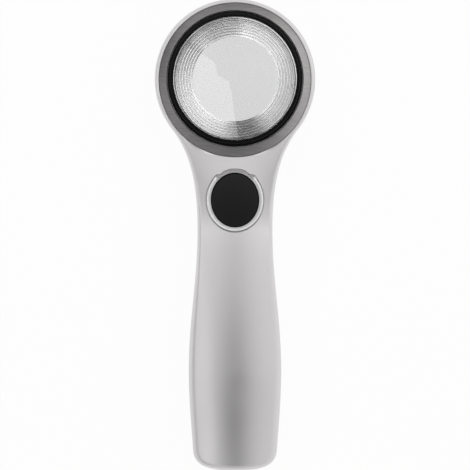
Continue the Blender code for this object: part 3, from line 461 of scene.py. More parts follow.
# Anodised aluminium: grey metal with fine straight scratches from the belt. They are about 0.1 mm wide and
# are drawn at 0.35 mm so that they show in the render.
gunmetal, tree, shader, place = finish_of(
    "linished_anodised_aluminium", {"Metallic": 1.0, "Roughness": 0.38}
)
turned_place = add(
    tree, "ShaderNodeMapping",
    {"Rotation": (0, 0, LINISH_ANGLE), "Scale": (1 / LINISH_LENGTH, 1 / LINISH_WIDTH, 1 / LINISH_LENGTH)},
    {"Vector": place},
)
scratches = add(
    tree, "ShaderNodeTexNoise", {"Scale": 1.0, "Detail": 3.0}, {"Vector": turned_place.outputs[0]}
)
steer(tree, scratches.outputs["Fac"], tones=("#6A6868", "#969494"), relief=(0.12, 0.00004))
bezel_profile = softened([
    (BEZEL_OUTER, HEAD_HEIGHT),
    (BEZEL_OUTER, BEZEL_FOOT),
    (BEZEL_INNER, BEZEL_FOOT),
    (BEZEL_INNER, BEZEL_INNER_HEIGHT),
], BEZEL_ROUND)
# Its outside is drawn towards the handle as its seat is, by the share of the way out from its bore.
bezel_points, bezel_quads = turned(bezel_profile, (0, HEAD_Y, 0))
bezel_out = bezel_points[:, :2] - (0, HEAD_Y)
bezel_radius = np.linalg.norm(bezel_out, axis=1)
bezel_share = (bezel_radius - BEZEL_INNER) / (BEZEL_OUTER - BEZEL_INNER)
bezel_points[:, 1] -= SEAT_DRAW * bezel_share * (1 - bezel_out[:, 1] / bezel_radius)
bezel = piece(
    "gunmetal_bezel", [(bezel_points, bezel_quads)],
    [gunmetal], "case", ["bezel_ring"],
)

# Lens collar: a stepped ring moulded in black ABS. Its spigot goes down into the head, and its thin lip
# holds the lens from the front.
COLLAR_OUTER = 0.0234
COLLAR_BORE = 0.0218
COLLAR_LIP_RADIUS = 0.0213
COLLAR_STEP = 0.0006
COLLAR_SHOULDER = 0.0224
COLLAR_BAND_TOP = 0.0169
COLLAR_TOP = 0.0194
COLLAR_LIP = 0.0004
SPIGOT_RADIUS = 0.0227
SPIGOT_FOOT = 0.0088
COLLAR_ROUND = 0.00016
MOULD_GRAIN = 0.0004


def grained(name, settings, size, detail, tones=None, roughness=None, relief=None):
    """A finish steered by one grain of a size, a noise on Object coordinates."""
    made, tree, shader, place = finish_of(name, settings)
    grain = add(tree, "ShaderNodeTexNoise", {"Scale": 1 / size, "Detail": detail}, {"Vector": place})
    steer(tree, grain.outputs["Fac"], tones, roughness, relief)
    return made


# Black ABS: deep and even, semi-gloss from a polished mould, with a faint orange-peel grain.
black_abs = grained(
    "moulded_black_ABS",
    {"Base Color": linear("#0A0A0B"), "Roughness": 0.28, "IOR": 1.53, "Specular IOR Level": 0.1},
    MOULD_GRAIN, 2.0, roughness=(0.22, 0.34), relief=(0.06, 0.00004),
)
collar_profile = softened([
    (COLLAR_SHOULDER, COLLAR_TOP),
    (COLLAR_OUTER - COLLAR_STEP, COLLAR_BAND_TOP),
    (COLLAR_OUTER, COLLAR_BAND_TOP),
    (COLLAR_OUTER, BEZEL_FOOT),
    (SPIGOT_RADIUS, BEZEL_FOOT),
    (SPIGOT_RADIUS, SPIGOT_FOOT),
    (COLLAR_BORE, SPIGOT_FOOT),
    (COLLAR_BORE, COLLAR_TOP - COLLAR_LIP),
    (COLLAR_LIP_RADIUS, COLLAR_TOP - COLLAR_LIP),
    (COLLAR_LIP_RADIUS, COLLAR_TOP),
], COLLAR_ROUND)
piece(
    "black_lens_collar", [turned(collar_profile, (0, HEAD_Y, 0))],
    [black_abs], "case", ["lens_collar"],
)

# Front lens and rear window: both moulded in clear acrylic and polished. The lens is flat behind, domed in
# front and held by the collar's lip; the window is a flat disc on a lip of the rear shell.
LENS_RADIUS = 0.0215
LENS_EDGE_TOP = 0.0187
LENS_BACK = 0.0165
LENS_SAG = 0.0026
LENS_BEVEL = 0.00025
LENS_ROWS = 24
WINDOW_RADIUS = 0.0218
WINDOW_BACK = 0.0021
WINDOW_FRONT = 0.0039

# Acrylic: clear and colourless, index 1.49. Shadow rays pass through it, so that the inside is lit.
acrylic, tree, shader, place = finish_of(
    "polished_clear_acrylic",
    {"Base Color": linear("#EFEFEF"), "Roughness": 0.0, "IOR": 1.49, "Transmission Weight": 1.0},
)
ray = add(tree, "ShaderNodeLightPath")
passing = add(
    tree, "ShaderNodeMath", {"operation": "MAXIMUM"},
    {0: ray.outputs["Is Shadow Ray"], 1: ray.outputs["Is Diffuse Ray"]},
)
through = add(tree, "ShaderNodeBsdfTransparent", {"Color": linear("#F6F6F6")})
blend = add(
    tree, "ShaderNodeMixShader", {},
    {0: passing.outputs[0], 1: shader.outputs[0], 2: through.outputs[0]},
)
tree.links.new(blend.outputs[0], tree.nodes["Material Output"].inputs["Surface"])
dome_share = np.linspace(0, 1, LENS_ROWS)
dome_radius = (LENS_RADIUS - LENS_BEVEL) * dome_share
dome = np.stack([dome_radius, LENS_EDGE_TOP + LENS_SAG * (1 - (dome_radius / LENS_RADIUS) ** 2)], 1)
lens_profile = np.concatenate([
    dome,
    [(LENS_RADIUS, LENS_EDGE_TOP - LENS_BEVEL), (LENS_RADIUS, LENS_BACK + LENS_BEVEL)],
    [(LENS_RADIUS - LENS_BEVEL, LENS_BACK), (0, LENS_BACK)],
])
front_lens = piece(
    "domed_front_lens", [turned(lens_profile, (0, HEAD_Y, 0))],
    [acrylic], "case", ["front_lens"],
)
window_profile = [
    (0, WINDOW_FRONT),
    (WINDOW_RADIUS - LENS_BEVEL, WINDOW_FRONT),
    (WINDOW_RADIUS, WINDOW_FRONT - LENS_BEVEL),
    (WINDOW_RADIUS, WINDOW_BACK + LENS_BEVEL),
    (WINDOW_RADIUS - LENS_BEVEL, WINDOW_BACK),
    (0, WINDOW_BACK),
]
piece(
    "clear_rear_window", [turned(window_profile, (0, HEAD_Y, 0))],
    [acrylic], "case", ["rear_window"],
)

# Baffle ring: spun from bright aluminium, with fine round ridges on its dished face. Its tapered shroud
# reaches to the rear window and keeps the lamps out of view.
APERTURE_RADIUS = 0.0143
BAFFLE_TOP = 0.0157
BAFFLE_DISH = 0.0013
BAFFLE_UNDER = 0.0110
RIBBED_RADIUS = 0.0209
RIDGES = 7
RIDGE_HEIGHT = 0.00014
RIDGE_POINTS = 12
RIDGE_LEAN = 1.5
SHROUD_TOP = 0.0112
SHROUD_FOOT = 0.0042
SHROUD_WALL = 0.0010
SHROUD_FLARE = 0.0013
SPINNING_HAZE = 0.0008
GROOVE_SHADE_EDGES = (0.02, 0.45)
# A wave texture at a scale of 1 runs through 20 radians in each unit, which makes this its wavelength.
WAVELENGTH = math.pi / 10

# Bright aluminium: almost a mirror, with a little haze from the spinning tool, and painted shade that
# darkens the groove bottoms.
bright_aluminium, tree, shader, place = finish_of(
    "bright_spun_aluminium", {"Metallic": 1.0, "Roughness": 0.24}
)
haze = add(tree, "ShaderNodeTexNoise", {"Scale": 1 / SPINNING_HAZE, "Detail": 2.0}, {"Vector": place})
tone = add(
    tree, "ShaderNodeMix",
    {"data_type": "RGBA", 6: linear("#E6E6E6"), 7: linear("#F4F4F4")},
    {0: haze.outputs["Fac"]},
)
ridge_pitch = (RIBBED_RADIUS - APERTURE_RADIUS) / RIDGES
about_axis = add(tree, "ShaderNodeMapping", {"Location": (0, -HEAD_Y, 0)}, {"Vector": place})
rings = add(
    tree, "ShaderNodeTexWave",
    {
        "wave_type": "RINGS", "rings_direction": "Z", "Scale": WAVELENGTH / ridge_pitch,
        "Phase Offset": -2 * math.pi * APERTURE_RADIUS / ridge_pitch,
    },
    {"Vector": about_axis.outputs[0]},
)
# Painted shade: the base colour darkens to grey in the bottom of each groove between the ridges.
groove_shade = add(
    tree, "ShaderNodeMapRange",
    {"From Min": GROOVE_SHADE_EDGES[0], "From Max": GROOVE_SHADE_EDGES[1]},
    {"Value": rings.outputs["Fac"]},
)
groove_shaded_tone = add(
    tree, "ShaderNodeMix", {"data_type": "RGBA", 6: linear("#BEBEBE")},
    {0: groove_shade.outputs[0], 7: tone.outputs[2]},
)
tree.links.new(groove_shaded_tone.outputs[2], shader.inputs["Base Color"])
steer(tree, haze.outputs["Fac"], roughness=(0.18, 0.30))
ridge_place = np.linspace(0, RIDGES, RIDGES * RIDGE_POINTS + 1)
ridge_radius = APERTURE_RADIUS + (RIBBED_RADIUS - APERTURE_RADIUS) * ridge_place / RIDGES
ridge_base = BAFFLE_TOP - RIDGE_HEIGHT - BAFFLE_DISH * (1 - ridge_place / RIDGES)
ridge_lift = RIDGE_HEIGHT * (0.5 - 0.5 * np.cos(2 * math.pi * (ridge_place % 1) ** RIDGE_LEAN))
under_share = (SHROUD_TOP - BAFFLE_UNDER) / (SHROUD_TOP - SHROUD_FOOT)
baffle_profile = np.concatenate([
    [
        (LENS_RADIUS, BAFFLE_TOP),
        (LENS_RADIUS, BAFFLE_UNDER),
        (APERTURE_RADIUS + SHROUD_WALL + SHROUD_FLARE * under_share, BAFFLE_UNDER),
        (APERTURE_RADIUS + SHROUD_WALL + SHROUD_FLARE, SHROUD_FOOT),
        (APERTURE_RADIUS + SHROUD_FLARE, SHROUD_FOOT),
        (APERTURE_RADIUS, SHROUD_TOP),
    ],
    np.stack([ridge_radius, ridge_base + ridge_lift], 1),
    [(RIBBED_RADIUS, BAFFLE_TOP)],
])
baffle = piece(
    "ribbed_baffle_ring", [turned(baffle_profile, (0, HEAD_Y, 0))],
    [bright_aluminium], "case", ["baffle_ring"],
)

# Button rim: an oval trim ring in the same silver paint, pressed into the pocket. A fine lip and a round
# ridge run along its sides and lower end; towards the head the ridge ends and leaves a plain slope.
RIM_INNER = 0.0003
RIM_FOOT = 0.0140
RIM_INNER_HEIGHT = 0.0156
RIM_LIP = 0.00012
RIM_RIDGE = 0.0006
RIM_SLOPE = 0.0002
RIDGE_FADES = [(0, 0.0), (42, 0.0), (50, 1.0), (180, 1.0)]
RIDGE_FALL = 0.4
LIP_HALF_SHARE = 0.09
RIDGE_MIDDLE_SHARE = 0.66
RIDGE_HALF_SHARE = 0.27
LIP_ROWS = 6
RIDGE_ROWS = 14
OVAL_STEPS = 360
PLAIN_HALF = 46
POLISH_CLOUD = 0.0012


def ovals(offsets, heights):
    """Rows round the button: its oval widened by an offset, at a height; both may change round it."""
    turn = np.linspace(0, 2 * math.pi, OVAL_STEPS, endpoint=False)
    x = (BUTTON_HALF_WIDTH + offsets) * np.cos(turn)
    y = BUTTON_Y + (BUTTON_HALF_LENGTH + offsets) * np.sin(turn)
    return np.stack([x, y, np.broadcast_to(heights, x.shape)], -1)


from_top = np.abs(np.linspace(0, 2 * math.pi, OVAL_STEPS, endpoint=False) - math.pi / 2)
from_top = np.minimum(from_top, 2 * math.pi - from_top)
fade = eased(np.degrees(from_top), RIDGE_FADES)
lip_turn = np.linspace(0, math.pi, LIP_ROWS)
ridge_turn = np.linspace(0, math.pi, RIDGE_ROWS)
lip_share = LIP_HALF_SHARE * (1 - np.cos(lip_turn))
ridge_share = RIDGE_MIDDLE_SHARE - RIDGE_HALF_SHARE * np.cos(ridge_turn)
rim_share = np.concatenate([[0], lip_share, ridge_share, [1, 1]])[:, None]
rim_offsets = RIM_INNER + (rim_reach(from_top) - RIM_INNER) * rim_share
lip_rise = np.concatenate([[0], np.sin(lip_turn), 0 * ridge_turn, [0, 0]])[:, None]
ridge_rise = np.concatenate([[0], 0 * lip_turn, np.sin(ridge_turn), [-RIDGE_FALL, 0]])[:, None]
rim_heights = RIM_INNER_HEIGHT + RIM_LIP * lip_rise + RIM_RIDGE * ridge_rise * fade
rim_heights = rim_heights + RIM_SLOPE * rim_share * (1 - fade)
rim_heights[[0, -1]] = RIM_FOOT
rim_points = ovals(rim_offsets, rim_heights)
rim_points = np.concatenate([rim_points, rim_points[:1]])
top_column = OVAL_STEPS // 4
plain_columns = np.arange(top_column - PLAIN_HALF, top_column + PLAIN_HALF + 1)
ridge_columns = np.arange(PLAIN_HALF, OVAL_STEPS - PLAIN_HALF + 1) + top_column
ridge_columns = ridge_columns % OVAL_STEPS
ridge_start = LIP_ROWS

# Ridge lacquer: the silver paint in a paler, near-white colour on the ridge, a painted highlight, and
# smoother, with a faint cloud in its tone and roughness.
ridge_highlight_lacquer = grained(
    "silver_lacquer_with_painted_highlight", {"Metallic": 0.35, "Roughness": 0.2},
    POLISH_CLOUD, 2.0, tones=("#F0F0EF", "#FAFAFA"), roughness=(0.16, 0.26),
)
piece(
    "silver_button_rim",
    [
        grid(rim_points[:, plain_columns]),
        grid(rim_points[: ridge_start + 1, ridge_columns]),
        # The ridge rows take the paler lacquer, a painted highlight.
        (*grid(rim_points[ridge_start:, ridge_columns]), 1),
    ],
    [silver_paint, ridge_highlight_lacquer], "case", ["button_rim"],
)

# Button cap: a low oval dome moulded in black ABS, with a spark-eroded satin face. It stands in the rim, and
# a flange below the rim keeps it in.
CAP_FOOT = 0.0127
CAP_FLANGE = 0.0010
CAP_FLANGE_TOP = 0.0135
CAP_EDGE_HEIGHT = 0.0160
CAP_CROWN = 0.0006
CAP_ROUND = 0.0005
CAP_ROWS = 16
CAP_ROUND_ROWS = 8
SATIN_GRAIN = 0.00025

# Spark-eroded ABS: the same black, with a fine even texture that spreads the light.
satin_abs = grained(
    "satin_black_ABS",
    {"Base Color": linear("#0A0A0B"), "Roughness": 0.45, "IOR": 1.53, "Specular IOR Level": 0.25},
    SATIN_GRAIN, 1.0, roughness=(0.40, 0.52), relief=(0.10, 0.00005),
)
round_turn = np.linspace(0, math.pi / 2, CAP_ROUND_ROWS)
inner_share = np.linspace(0, 1, CAP_ROWS)[1:]
cap_offsets = np.concatenate([
    [-BUTTON_HALF_WIDTH, CAP_FLANGE, CAP_FLANGE, 0],
    -CAP_ROUND * (1 - np.cos(round_turn)),
    -CAP_ROUND - (BUTTON_HALF_WIDTH - CAP_ROUND) * inner_share,
])
cap_heights = np.concatenate([
    [CAP_FOOT, CAP_FOOT, CAP_FLANGE_TOP, CAP_FLANGE_TOP],
    CAP_EDGE_HEIGHT - CAP_ROUND * (1 - np.sin(round_turn)),
    CAP_EDGE_HEIGHT + CAP_CROWN * (1 - (1 - inner_share) ** 2),
])[:, None]
cap_points = ovals(cap_offsets[:, None], cap_heights)
piece(
    "black_thumb_button", [grid(cap_points, True)],
    [satin_abs], "button", ["button_cap"],
)

# Rear shell: the back of the head and grip, the same painted ABS. It is flat where it rests, and has the
# opening for the window on a lip and four sunk holes for the screws.
REAR_EDGES = [(END_Y, 0.0050), (NECK_Y, 0.0050), (HEAD_Y, 0.0030)]
REAR_ROWS = 12
FLAT_ROWS = 8
DOOR_Y = -0.01425
WINDOW_OPENING = 0.0200
WINDOW_CHAMFER = 0.0004
SCREW_PLACES = [(-0.0102, 0.02575), (0.0102, 0.02575), (-0.0076, -0.00905), (0.0076, -0.00905)]
SCREW_SEAT = 0.0023
SCREW_SEAT_CHAMFER = 0.0002
SCREW_SEAT_TOP = 0.0030
SMALL_ROUND_STEPS = 48
CUT_MARGIN = 0.0010

rear_seam_z = SEAM_HEIGHT - GAP / 2
rear_band_z = rear_seam_z - SEAM_BAND
rear_width = eased(edge[:, 1], REAR_EDGES)
rear_turns = np.linspace(0, math.pi / 2, REAR_ROWS)
rear_plans = [edge] + [edge + inward * (rear_width * (1 - math.cos(turn)))[:, None] for turn in rear_turns]
rear_heights = [rear_seam_z] + [rear_band_z * (1 - math.sin(turn)) for turn in rear_turns]


def part_loop(points, y, upper):
    """The part of a loop above or below a line at y, a row that starts and ends on it, and the line."""
    line, right, left = line_across(points, y)
    half = len(points) // 2
    if upper:
        kept = edge[:, 1] > y + CUT_MARGIN
        parts = [left, points[half:][kept[half:]], points[:half][kept[:half]], right]
    else:
        parts = [right, points[edge[:, 1] < y - CUT_MARGIN], left]
    return np.concatenate(parts), line


def flat(x, y):
    """The flat back, at height zero."""
    return 0 * x


def back_half(upper, y):
    """The rounded edge of half of the back, in rows from the seam to the flat, and the flat's outline."""
    rows = [level(part_loop(plan, y, upper)[0], height) for plan, height in zip(rear_plans, rear_heights)]
    ends, line = part_loop(rear_plans[-1], y, upper)
    return np.concatenate(rows), np.concatenate([ends, line if upper else line[::-1]])


rear_edge, rear_flat = back_half(True, DOOR_Y + GAP / 2)
window_edge = ring(rear_flat, WINDOW_OPENING)
window_mouth = ring(rear_flat, WINDOW_OPENING + WINDOW_CHAMFER)
window_rows = [level(window_edge, WINDOW_CHAMFER), fanned(window_mouth, rear_flat, FLAT_ROWS, flat)]
rear_shell = piece(
    "silver_rear_shell", [grid(rear_edge), grid(np.concatenate(window_rows), True)],
    [silver_paint], "case", ["rear_shell"],
)
walled(rear_shell, np.ones(len(rear_shell.data.vertices)))


def carved(obj, patches):
    """Applies the wall and takes the closed shapes of these grids out of it, then shades it again."""
    tool = bpy.data.objects.new("tool", welded("tool", patches))
    bpy.context.scene.collection.objects.link(tool)
    knife = obj.modifiers.new("carve", "BOOLEAN")
    knife.object = tool
    knife.solver = "EXACT"
    graph = bpy.context.evaluated_depsgraph_get()
    mesh = bpy.data.meshes.new_from_object(obj.evaluated_get(graph))
    obj.modifiers.clear()
    obj.data = mesh
    mesh.shade_smooth()
    mesh.set_sharp_from_angle(angle=SHARP)
    bpy.data.objects.remove(tool)


seat_profile = [
    (0, -CUT_MARGIN),
    (SCREW_SEAT + SCREW_SEAT_CHAMFER, -CUT_MARGIN),
    (SCREW_SEAT + SCREW_SEAT_CHAMFER, 0),
    (SCREW_SEAT, SCREW_SEAT_CHAMFER),
    (SCREW_SEAT, SCREW_SEAT_TOP),
    (0, SCREW_SEAT_TOP),
]
carved(rear_shell, [turned(seat_profile, (x, y, 0), SMALL_ROUND_STEPS) for x, y in SCREW_PLACES])

# Battery door: the back of the handle, moulded and painted with the shells. It slides off the end of the
# handle, and has four finger grooves and a tongue that goes under the rear shell.
GROOVES = 4
GROOVE_PITCH = 0.0024
GROOVE_FROM_TOP = 0.0070
GROOVE_HALF_LENGTH = 0.0060
GROOVE_RADIUS = 0.0007
GROOVE_DEPTH = 0.0005
DOOR_SPINE_DROP = 0.0100
TONGUE_HALF = 0.0018
TONGUE_FOOT_Y = -0.01755
TONGUE_ROOT_Y = -0.01455
TONGUE_TIP_Y = -0.01125
TONGUE_HEIGHTS = (0.0021, 0.0031)
TONGUE_CORNER = 0.0005
TONGUE_ROUND = 0.0002
ROOT_HEIGHTS = (0.0015, 0.0030)
ROOT_CORNER = 0.0003
ROOT_ROUND = 0.0001

door_edge, door_flat = back_half(False, DOOR_Y - GAP / 2)
door_feet = np.stack([
    0 * door_flat[:, 1], np.clip(door_flat[:, 1], SPINE_END_Y, DOOR_Y - DOOR_SPINE_DROP),
], 1)
battery_door = piece(
    "silver_battery_door", [grid(door_edge), grid(fanned(door_feet, door_flat, FLAT_ROWS, flat), True)],
    [silver_paint], "door", ["battery_door"],
)
walled(battery_door, np.ones(len(battery_door.data.vertices)))


def rod(half_length, y, z, radius, rows=9, steps=24):
    """A bar with round ends along X: its radius follows a quarter circle over each end."""
    turn = np.linspace(0, math.pi / 2, rows)
    right = half_length - radius * (1 - np.cos(turn[::-1]))
    along = np.concatenate([-right[::-1], right])[:, None]
    thick = np.concatenate([radius * np.sin(turn), radius * np.sin(turn[::-1])])[:, None]
    around = np.linspace(0, 2 * math.pi, steps, endpoint=False)
    points = [along + 0 * around, y + thick * np.cos(around), z + thick * np.sin(around)]
    return grid(np.stack(points, -1), True)


groove_tops = DOOR_Y - GROOVE_FROM_TOP - GROOVE_PITCH * np.arange(GROOVES)
carved(battery_door, [
    rod(GROOVE_HALF_LENGTH, y, GROOVE_DEPTH - GROOVE_RADIUS, GROOVE_RADIUS) for y in groove_tops
])


def plate(outline, low, high, round_over, axes=(0, 1, 2), rows=4):
    """A closed plan outline carried from low to high, drawn in by round_over at both ends and closed there.

    axes gives the place of the outline's two coordinates and of the height among x, y and z.
    """
    plan = np.array(outline, float)
    middle = plan.mean(0)
    reach = np.linalg.norm(plan - middle, axis=1).min()
    turn = np.linspace(0, math.pi / 2, rows)
    inset = 1 - round_over / reach * (1 - np.sin(turn))
    lift = round_over * (1 - np.cos(turn))
    shares = np.concatenate([[0], inset, inset[::-1], [0]])[:, None, None]
    heights = np.concatenate([[low], low + lift, high - lift[::-1], [high]])
    flat_points = middle + (plan - middle) * shares
    points = np.empty((len(shares), len(plan), 3))
    points[..., axes[0]] = flat_points[..., 0]
    points[..., axes[1]] = flat_points[..., 1]
    points[..., axes[2]] = heights[:, None]
    return grid(points, True)


def box_outline(low, high, radius):
    """A rectangle from its low to its high corner, with its corners softened."""
    return softened([(low[0], low[1]), (high[0], low[1]), (high[0], high[1]), (low[0], high[1])], radius)


tongue_outline = box_outline((-TONGUE_HALF, TONGUE_FOOT_Y), (TONGUE_HALF, TONGUE_TIP_Y), TONGUE_CORNER)
root_outline = box_outline((-TONGUE_HALF, TONGUE_FOOT_Y), (TONGUE_HALF, TONGUE_ROOT_Y), ROOT_CORNER)
piece(
    "battery_door_tongue",
    [plate(tongue_outline, *TONGUE_HEIGHTS, TONGUE_ROUND), plate(root_outline, *ROOT_HEIGHTS, ROOT_ROUND)],
    [silver_paint], "door", [],
)

# Lens seal: a thin O-ring of black nitrile rubber. It is pressed flat between the lens and the baffle ring,
# inside the collar.
SEAL_RADIUS = 0.02137
SEAL_HEIGHT = 0.0161
SEAL_HALF_WIDTH = 0.00011
SEAL_HALF_HEIGHT = 0.00038
SEAL_STEPS = 16
RUBBER_BLOOM = 0.0015

# Nitrile rubber: a dull black with a dusty bloom.
nitrile = grained(
    "black_nitrile_rubber", {"Base Color": linear("#161616"), "Roughness": 0.7, "Specular IOR Level": 0.3},
    RUBBER_BLOOM, 3.0, tones=("#121212", "#202020"),
)
seal_turn = np.linspace(0, 2 * math.pi, SEAL_STEPS, endpoint=False)
seal_profile = np.stack([
    SEAL_RADIUS + SEAL_HALF_WIDTH * np.cos(seal_turn), SEAL_HALF_HEIGHT * np.sin(seal_turn),
], 1)
piece(
    "rubber_lens_seal", [turned(seal_profile, (0, HEAD_Y, SEAL_HEIGHT))],
    [nitrile], "case", ["lens_seal"],
)

# Lamp ring: a ring of glass-fibre board, with a green mask over round copper tracks. It is glued under the
# baffle, outside the shroud.
LED_BOARD_INNER = 0.0169
LED_BOARD_OUTER = 0.0212
LED_BOARD_LOW = 0.0095
LED_BOARD_HIGH = 0.0107
BOARD_EDGE_ROUND = 0.0001
TRACK_PITCH = 0.0011
TRACK_EDGES = (0.55, 0.70)

# Solder mask: a glossy green varnish, lighter where it lies over a copper track.
mask_finishes = {}
for name, centred in (("green_solder_mask_on_lamp_ring", True), ("green_solder_mask_on_main_board", False)):
    finish, tree, shader, place = finish_of(name, {"Roughness": 0.3, "IOR": 1.5})
    middle = (0, -HEAD_Y if centred else 0, 0)
    centre = add(tree, "ShaderNodeMapping", {"Location": middle}, {"Vector": place})
    tracks = add(
        tree, "ShaderNodeTexWave",
        {
            "wave_type": "RINGS" if centred else "BANDS", "rings_direction": "Z", "bands_direction": "X",
            "Scale": WAVELENGTH / TRACK_PITCH, "Distortion": 0.6, "Detail": 1.0, "Detail Scale": 0.4,
        },
        {"Vector": centre.outputs[0]},
    )
    edges = add(
        tree, "ShaderNodeMapRange",
        {"From Min": TRACK_EDGES[0], "From Max": TRACK_EDGES[1]},
        {"Value": tracks.outputs["Fac"]},
    )
    steer(tree, edges.outputs[0], tones=("#1C5A34", "#2F7A48"), relief=(0.3, 0.00004))
    mask_finishes[centred] = finish
led_board_profile = softened([
    (LED_BOARD_INNER, LED_BOARD_LOW),
    (LED_BOARD_OUTER, LED_BOARD_LOW),
    (LED_BOARD_OUTER, LED_BOARD_HIGH),
    (LED_BOARD_INNER, LED_BOARD_HIGH),
], BOARD_EDGE_ROUND)
piece(
    "lamp_ring_board", [turned(led_board_profile, (0, HEAD_Y, 0))],
    [mask_finishes[True]], "case", ["led_board"],
)

# Lamps: six white LEDs in square white cases, soldered on the back of the ring, each with a round window of
# yellow phosphor that faces the specimen.
LAMPS = 6
LAMP_CIRCLE = 0.01905
LAMP_HALF = 0.0015
LAMP_LOW = 0.0082
LAMP_HIGH = 0.0092
PHOSPHOR_RADIUS = 0.0011
PHOSPHOR_DOME = 0.00025
PHOSPHOR_DEPTH = 0.0002
PHOSPHOR_ROWS = 7
PHOSPHOR_STEPS = 32
LAMP_CORNER = 0.00025
LAMP_ROUND = 0.0001
CHALK_GRAIN = 0.0006
POWDER_GRAIN = 0.0002

# White reflector plastic: chalky and even, its tone varying a little at random.
lamp_case = grained(
    "white_reflector_plastic", {"Roughness": 0.55, "IOR": 1.5},
    CHALK_GRAIN, 2.0, tones=("#DEDED8", "#ECECE6"),
)
# Phosphor in silicone: opaque yellow with a soft sheen and a fine powder grain.
phosphor = grained(
    "yellow_phosphor_in_silicone", {"Roughness": 0.35, "IOR": 1.41},
    POWDER_GRAIN, 2.0, tones=("#D8BE4A", "#E8D468"),
)


def square_outline(x, y, half, radius):
    """A square about a middle in plan, with its corners softened."""
    return box_outline((x - half, y - half), (x + half, y + half), radius)


dome_turn = np.linspace(0, math.pi / 2, PHOSPHOR_ROWS)
phosphor_profile = np.stack([PHOSPHOR_RADIUS * np.sin(dome_turn), -PHOSPHOR_DOME * np.cos(dome_turn)], 1)
phosphor_foot = [(PHOSPHOR_RADIUS, PHOSPHOR_DEPTH), (0, PHOSPHOR_DEPTH)]
phosphor_profile = np.concatenate([phosphor_profile, phosphor_foot])
for number in range(LAMPS):
    angle = 2 * math.pi * number / LAMPS
    x = LAMP_CIRCLE * math.cos(angle)
    y = HEAD_Y + LAMP_CIRCLE * math.sin(angle)
    case_outline = square_outline(x, y, LAMP_HALF, LAMP_CORNER)
    case_patch = plate(case_outline, LAMP_LOW + PHOSPHOR_DOME, LAMP_HIGH, LAMP_ROUND)
    window_patch = turned(phosphor_profile, (x, y, LAMP_LOW + PHOSPHOR_DOME), PHOSPHOR_STEPS)
    piece(
        f"lamp_{number + 1}", [case_patch, (*window_patch, 1)],
        [lamp_case, phosphor], "case", [f"led_{number + 1}"],
    )

# Screws: five cross-recessed screws in nickel-plated steel. Four draw the rear shell to the front one from
# behind, and one holds the battery tray by its tab.
SCREW_FOOT = 0.0009
SCREW_HEAD_RADIUS = 0.0020
SCREW_HEAD_HEIGHT = 0.0010
SCREW_SHANK_RADIUS = 0.0011
SCREW_LENGTH = 0.0090
TRAY_SCREW_PLACE = (0, -0.02155)
TRAY_SCREW_FOOT = 0.0070
TRAY_SCREW_LENGTH = 0.0060
THREAD_PITCH = 0.0008
THREAD_DEPTH = 0.0002
RECESS_REACH = 0.0012
RECESS_HALF_SLOT = 0.0003
RECESS_DEPTH = 0.0006
RECESS_FLOOR_SHARE = 0.75
HEAD_ROUND_WIDTH = 0.0005
HEAD_ROUND_HEIGHT = 0.0004
HEAD_ROUND_ROWS = 6
POINT_LENGTH = 0.0010
POINT_SHARE = 0.35
SHANK_ROWS = 80
SCREW_STEPS = 96
OFF_AXIS = 0.01
PLATE_PATCHES = 0.0018


def screw(place, foot, length):
    """Rows of rings about an upright axis: a cross recess in polar form, a domed head and a threaded shank.

    The recess radius is the larger of two crossed slots, each the smaller of slot/|cos| and reach/|sin|. The
    shank's radius falls by the thread depth in a saw-tooth of height plus the turn's share of the pitch.
    """
    turn = np.linspace(0, 2 * math.pi, SCREW_STEPS, endpoint=False) + OFF_AXIS
    across = np.minimum(RECESS_HALF_SLOT / np.abs(np.cos(turn)), RECESS_REACH / np.abs(np.sin(turn)))
    along = np.minimum(RECESS_HALF_SLOT / np.abs(np.sin(turn)), RECESS_REACH / np.abs(np.cos(turn)))
    slots = np.maximum(across, along)
    head_turn = np.linspace(0, math.pi / 2, HEAD_ROUND_ROWS)[:, None]
    head_radius = SCREW_HEAD_RADIUS - HEAD_ROUND_WIDTH * (1 - np.sin(head_turn)) + 0 * turn
    head_height = HEAD_ROUND_HEIGHT * (1 - np.cos(head_turn)) + 0 * turn
    shank = np.linspace(SCREW_HEAD_HEIGHT, length, SHANK_ROWS)[:, None]
    tooth = np.abs(2 * ((shank / THREAD_PITCH + turn / (2 * math.pi)) % 1) - 1)
    point = np.clip((length - shank) / POINT_LENGTH, 0, 1)
    shank_radius = (SCREW_SHANK_RADIUS - THREAD_DEPTH * tooth) * (POINT_SHARE + (1 - POINT_SHARE) * point)
    flat_row = 0 * turn
    radius = np.concatenate([
        [flat_row, RECESS_FLOOR_SHARE * slots, slots],
        head_radius, [flat_row + SCREW_HEAD_RADIUS], shank_radius, [flat_row],
    ])
    height = np.concatenate([
        [flat_row + RECESS_DEPTH, flat_row + RECESS_DEPTH, flat_row],
        head_height, [flat_row + SCREW_HEAD_HEIGHT], shank + flat_row, [flat_row + length],
    ])
    x = place[0] + radius * np.cos(turn)
    y = place[1] + radius * np.sin(turn)
    return grid(np.stack([x, y, foot + height], -1), True)


# Nickel plate: a warm grey metal, bright but not a mirror, duller in patches.
nickel = grained(
    "nickel_plated_steel", {"Metallic": 1.0, "Roughness": 0.25},
    PLATE_PATCHES, 3.0, tones=("#BDBBB4", "#D2D0C9"), roughness=(0.18, 0.36),
)
SCREW_NAMES = ["head_left", "head_right", "grip_left", "grip_right"]
for name, spot in zip(SCREW_NAMES, SCREW_PLACES):
    piece(
        f"{name}_screw", [screw(spot, SCREW_FOOT, SCREW_LENGTH)],
        [nickel], "case", [f"shell_screw_{name}"],
    )
piece(
    "tray_tab_screw", [screw(TRAY_SCREW_PLACE, TRAY_SCREW_FOOT, TRAY_SCREW_LENGTH)],
    [nickel], "case", ["tray_screw"],
)

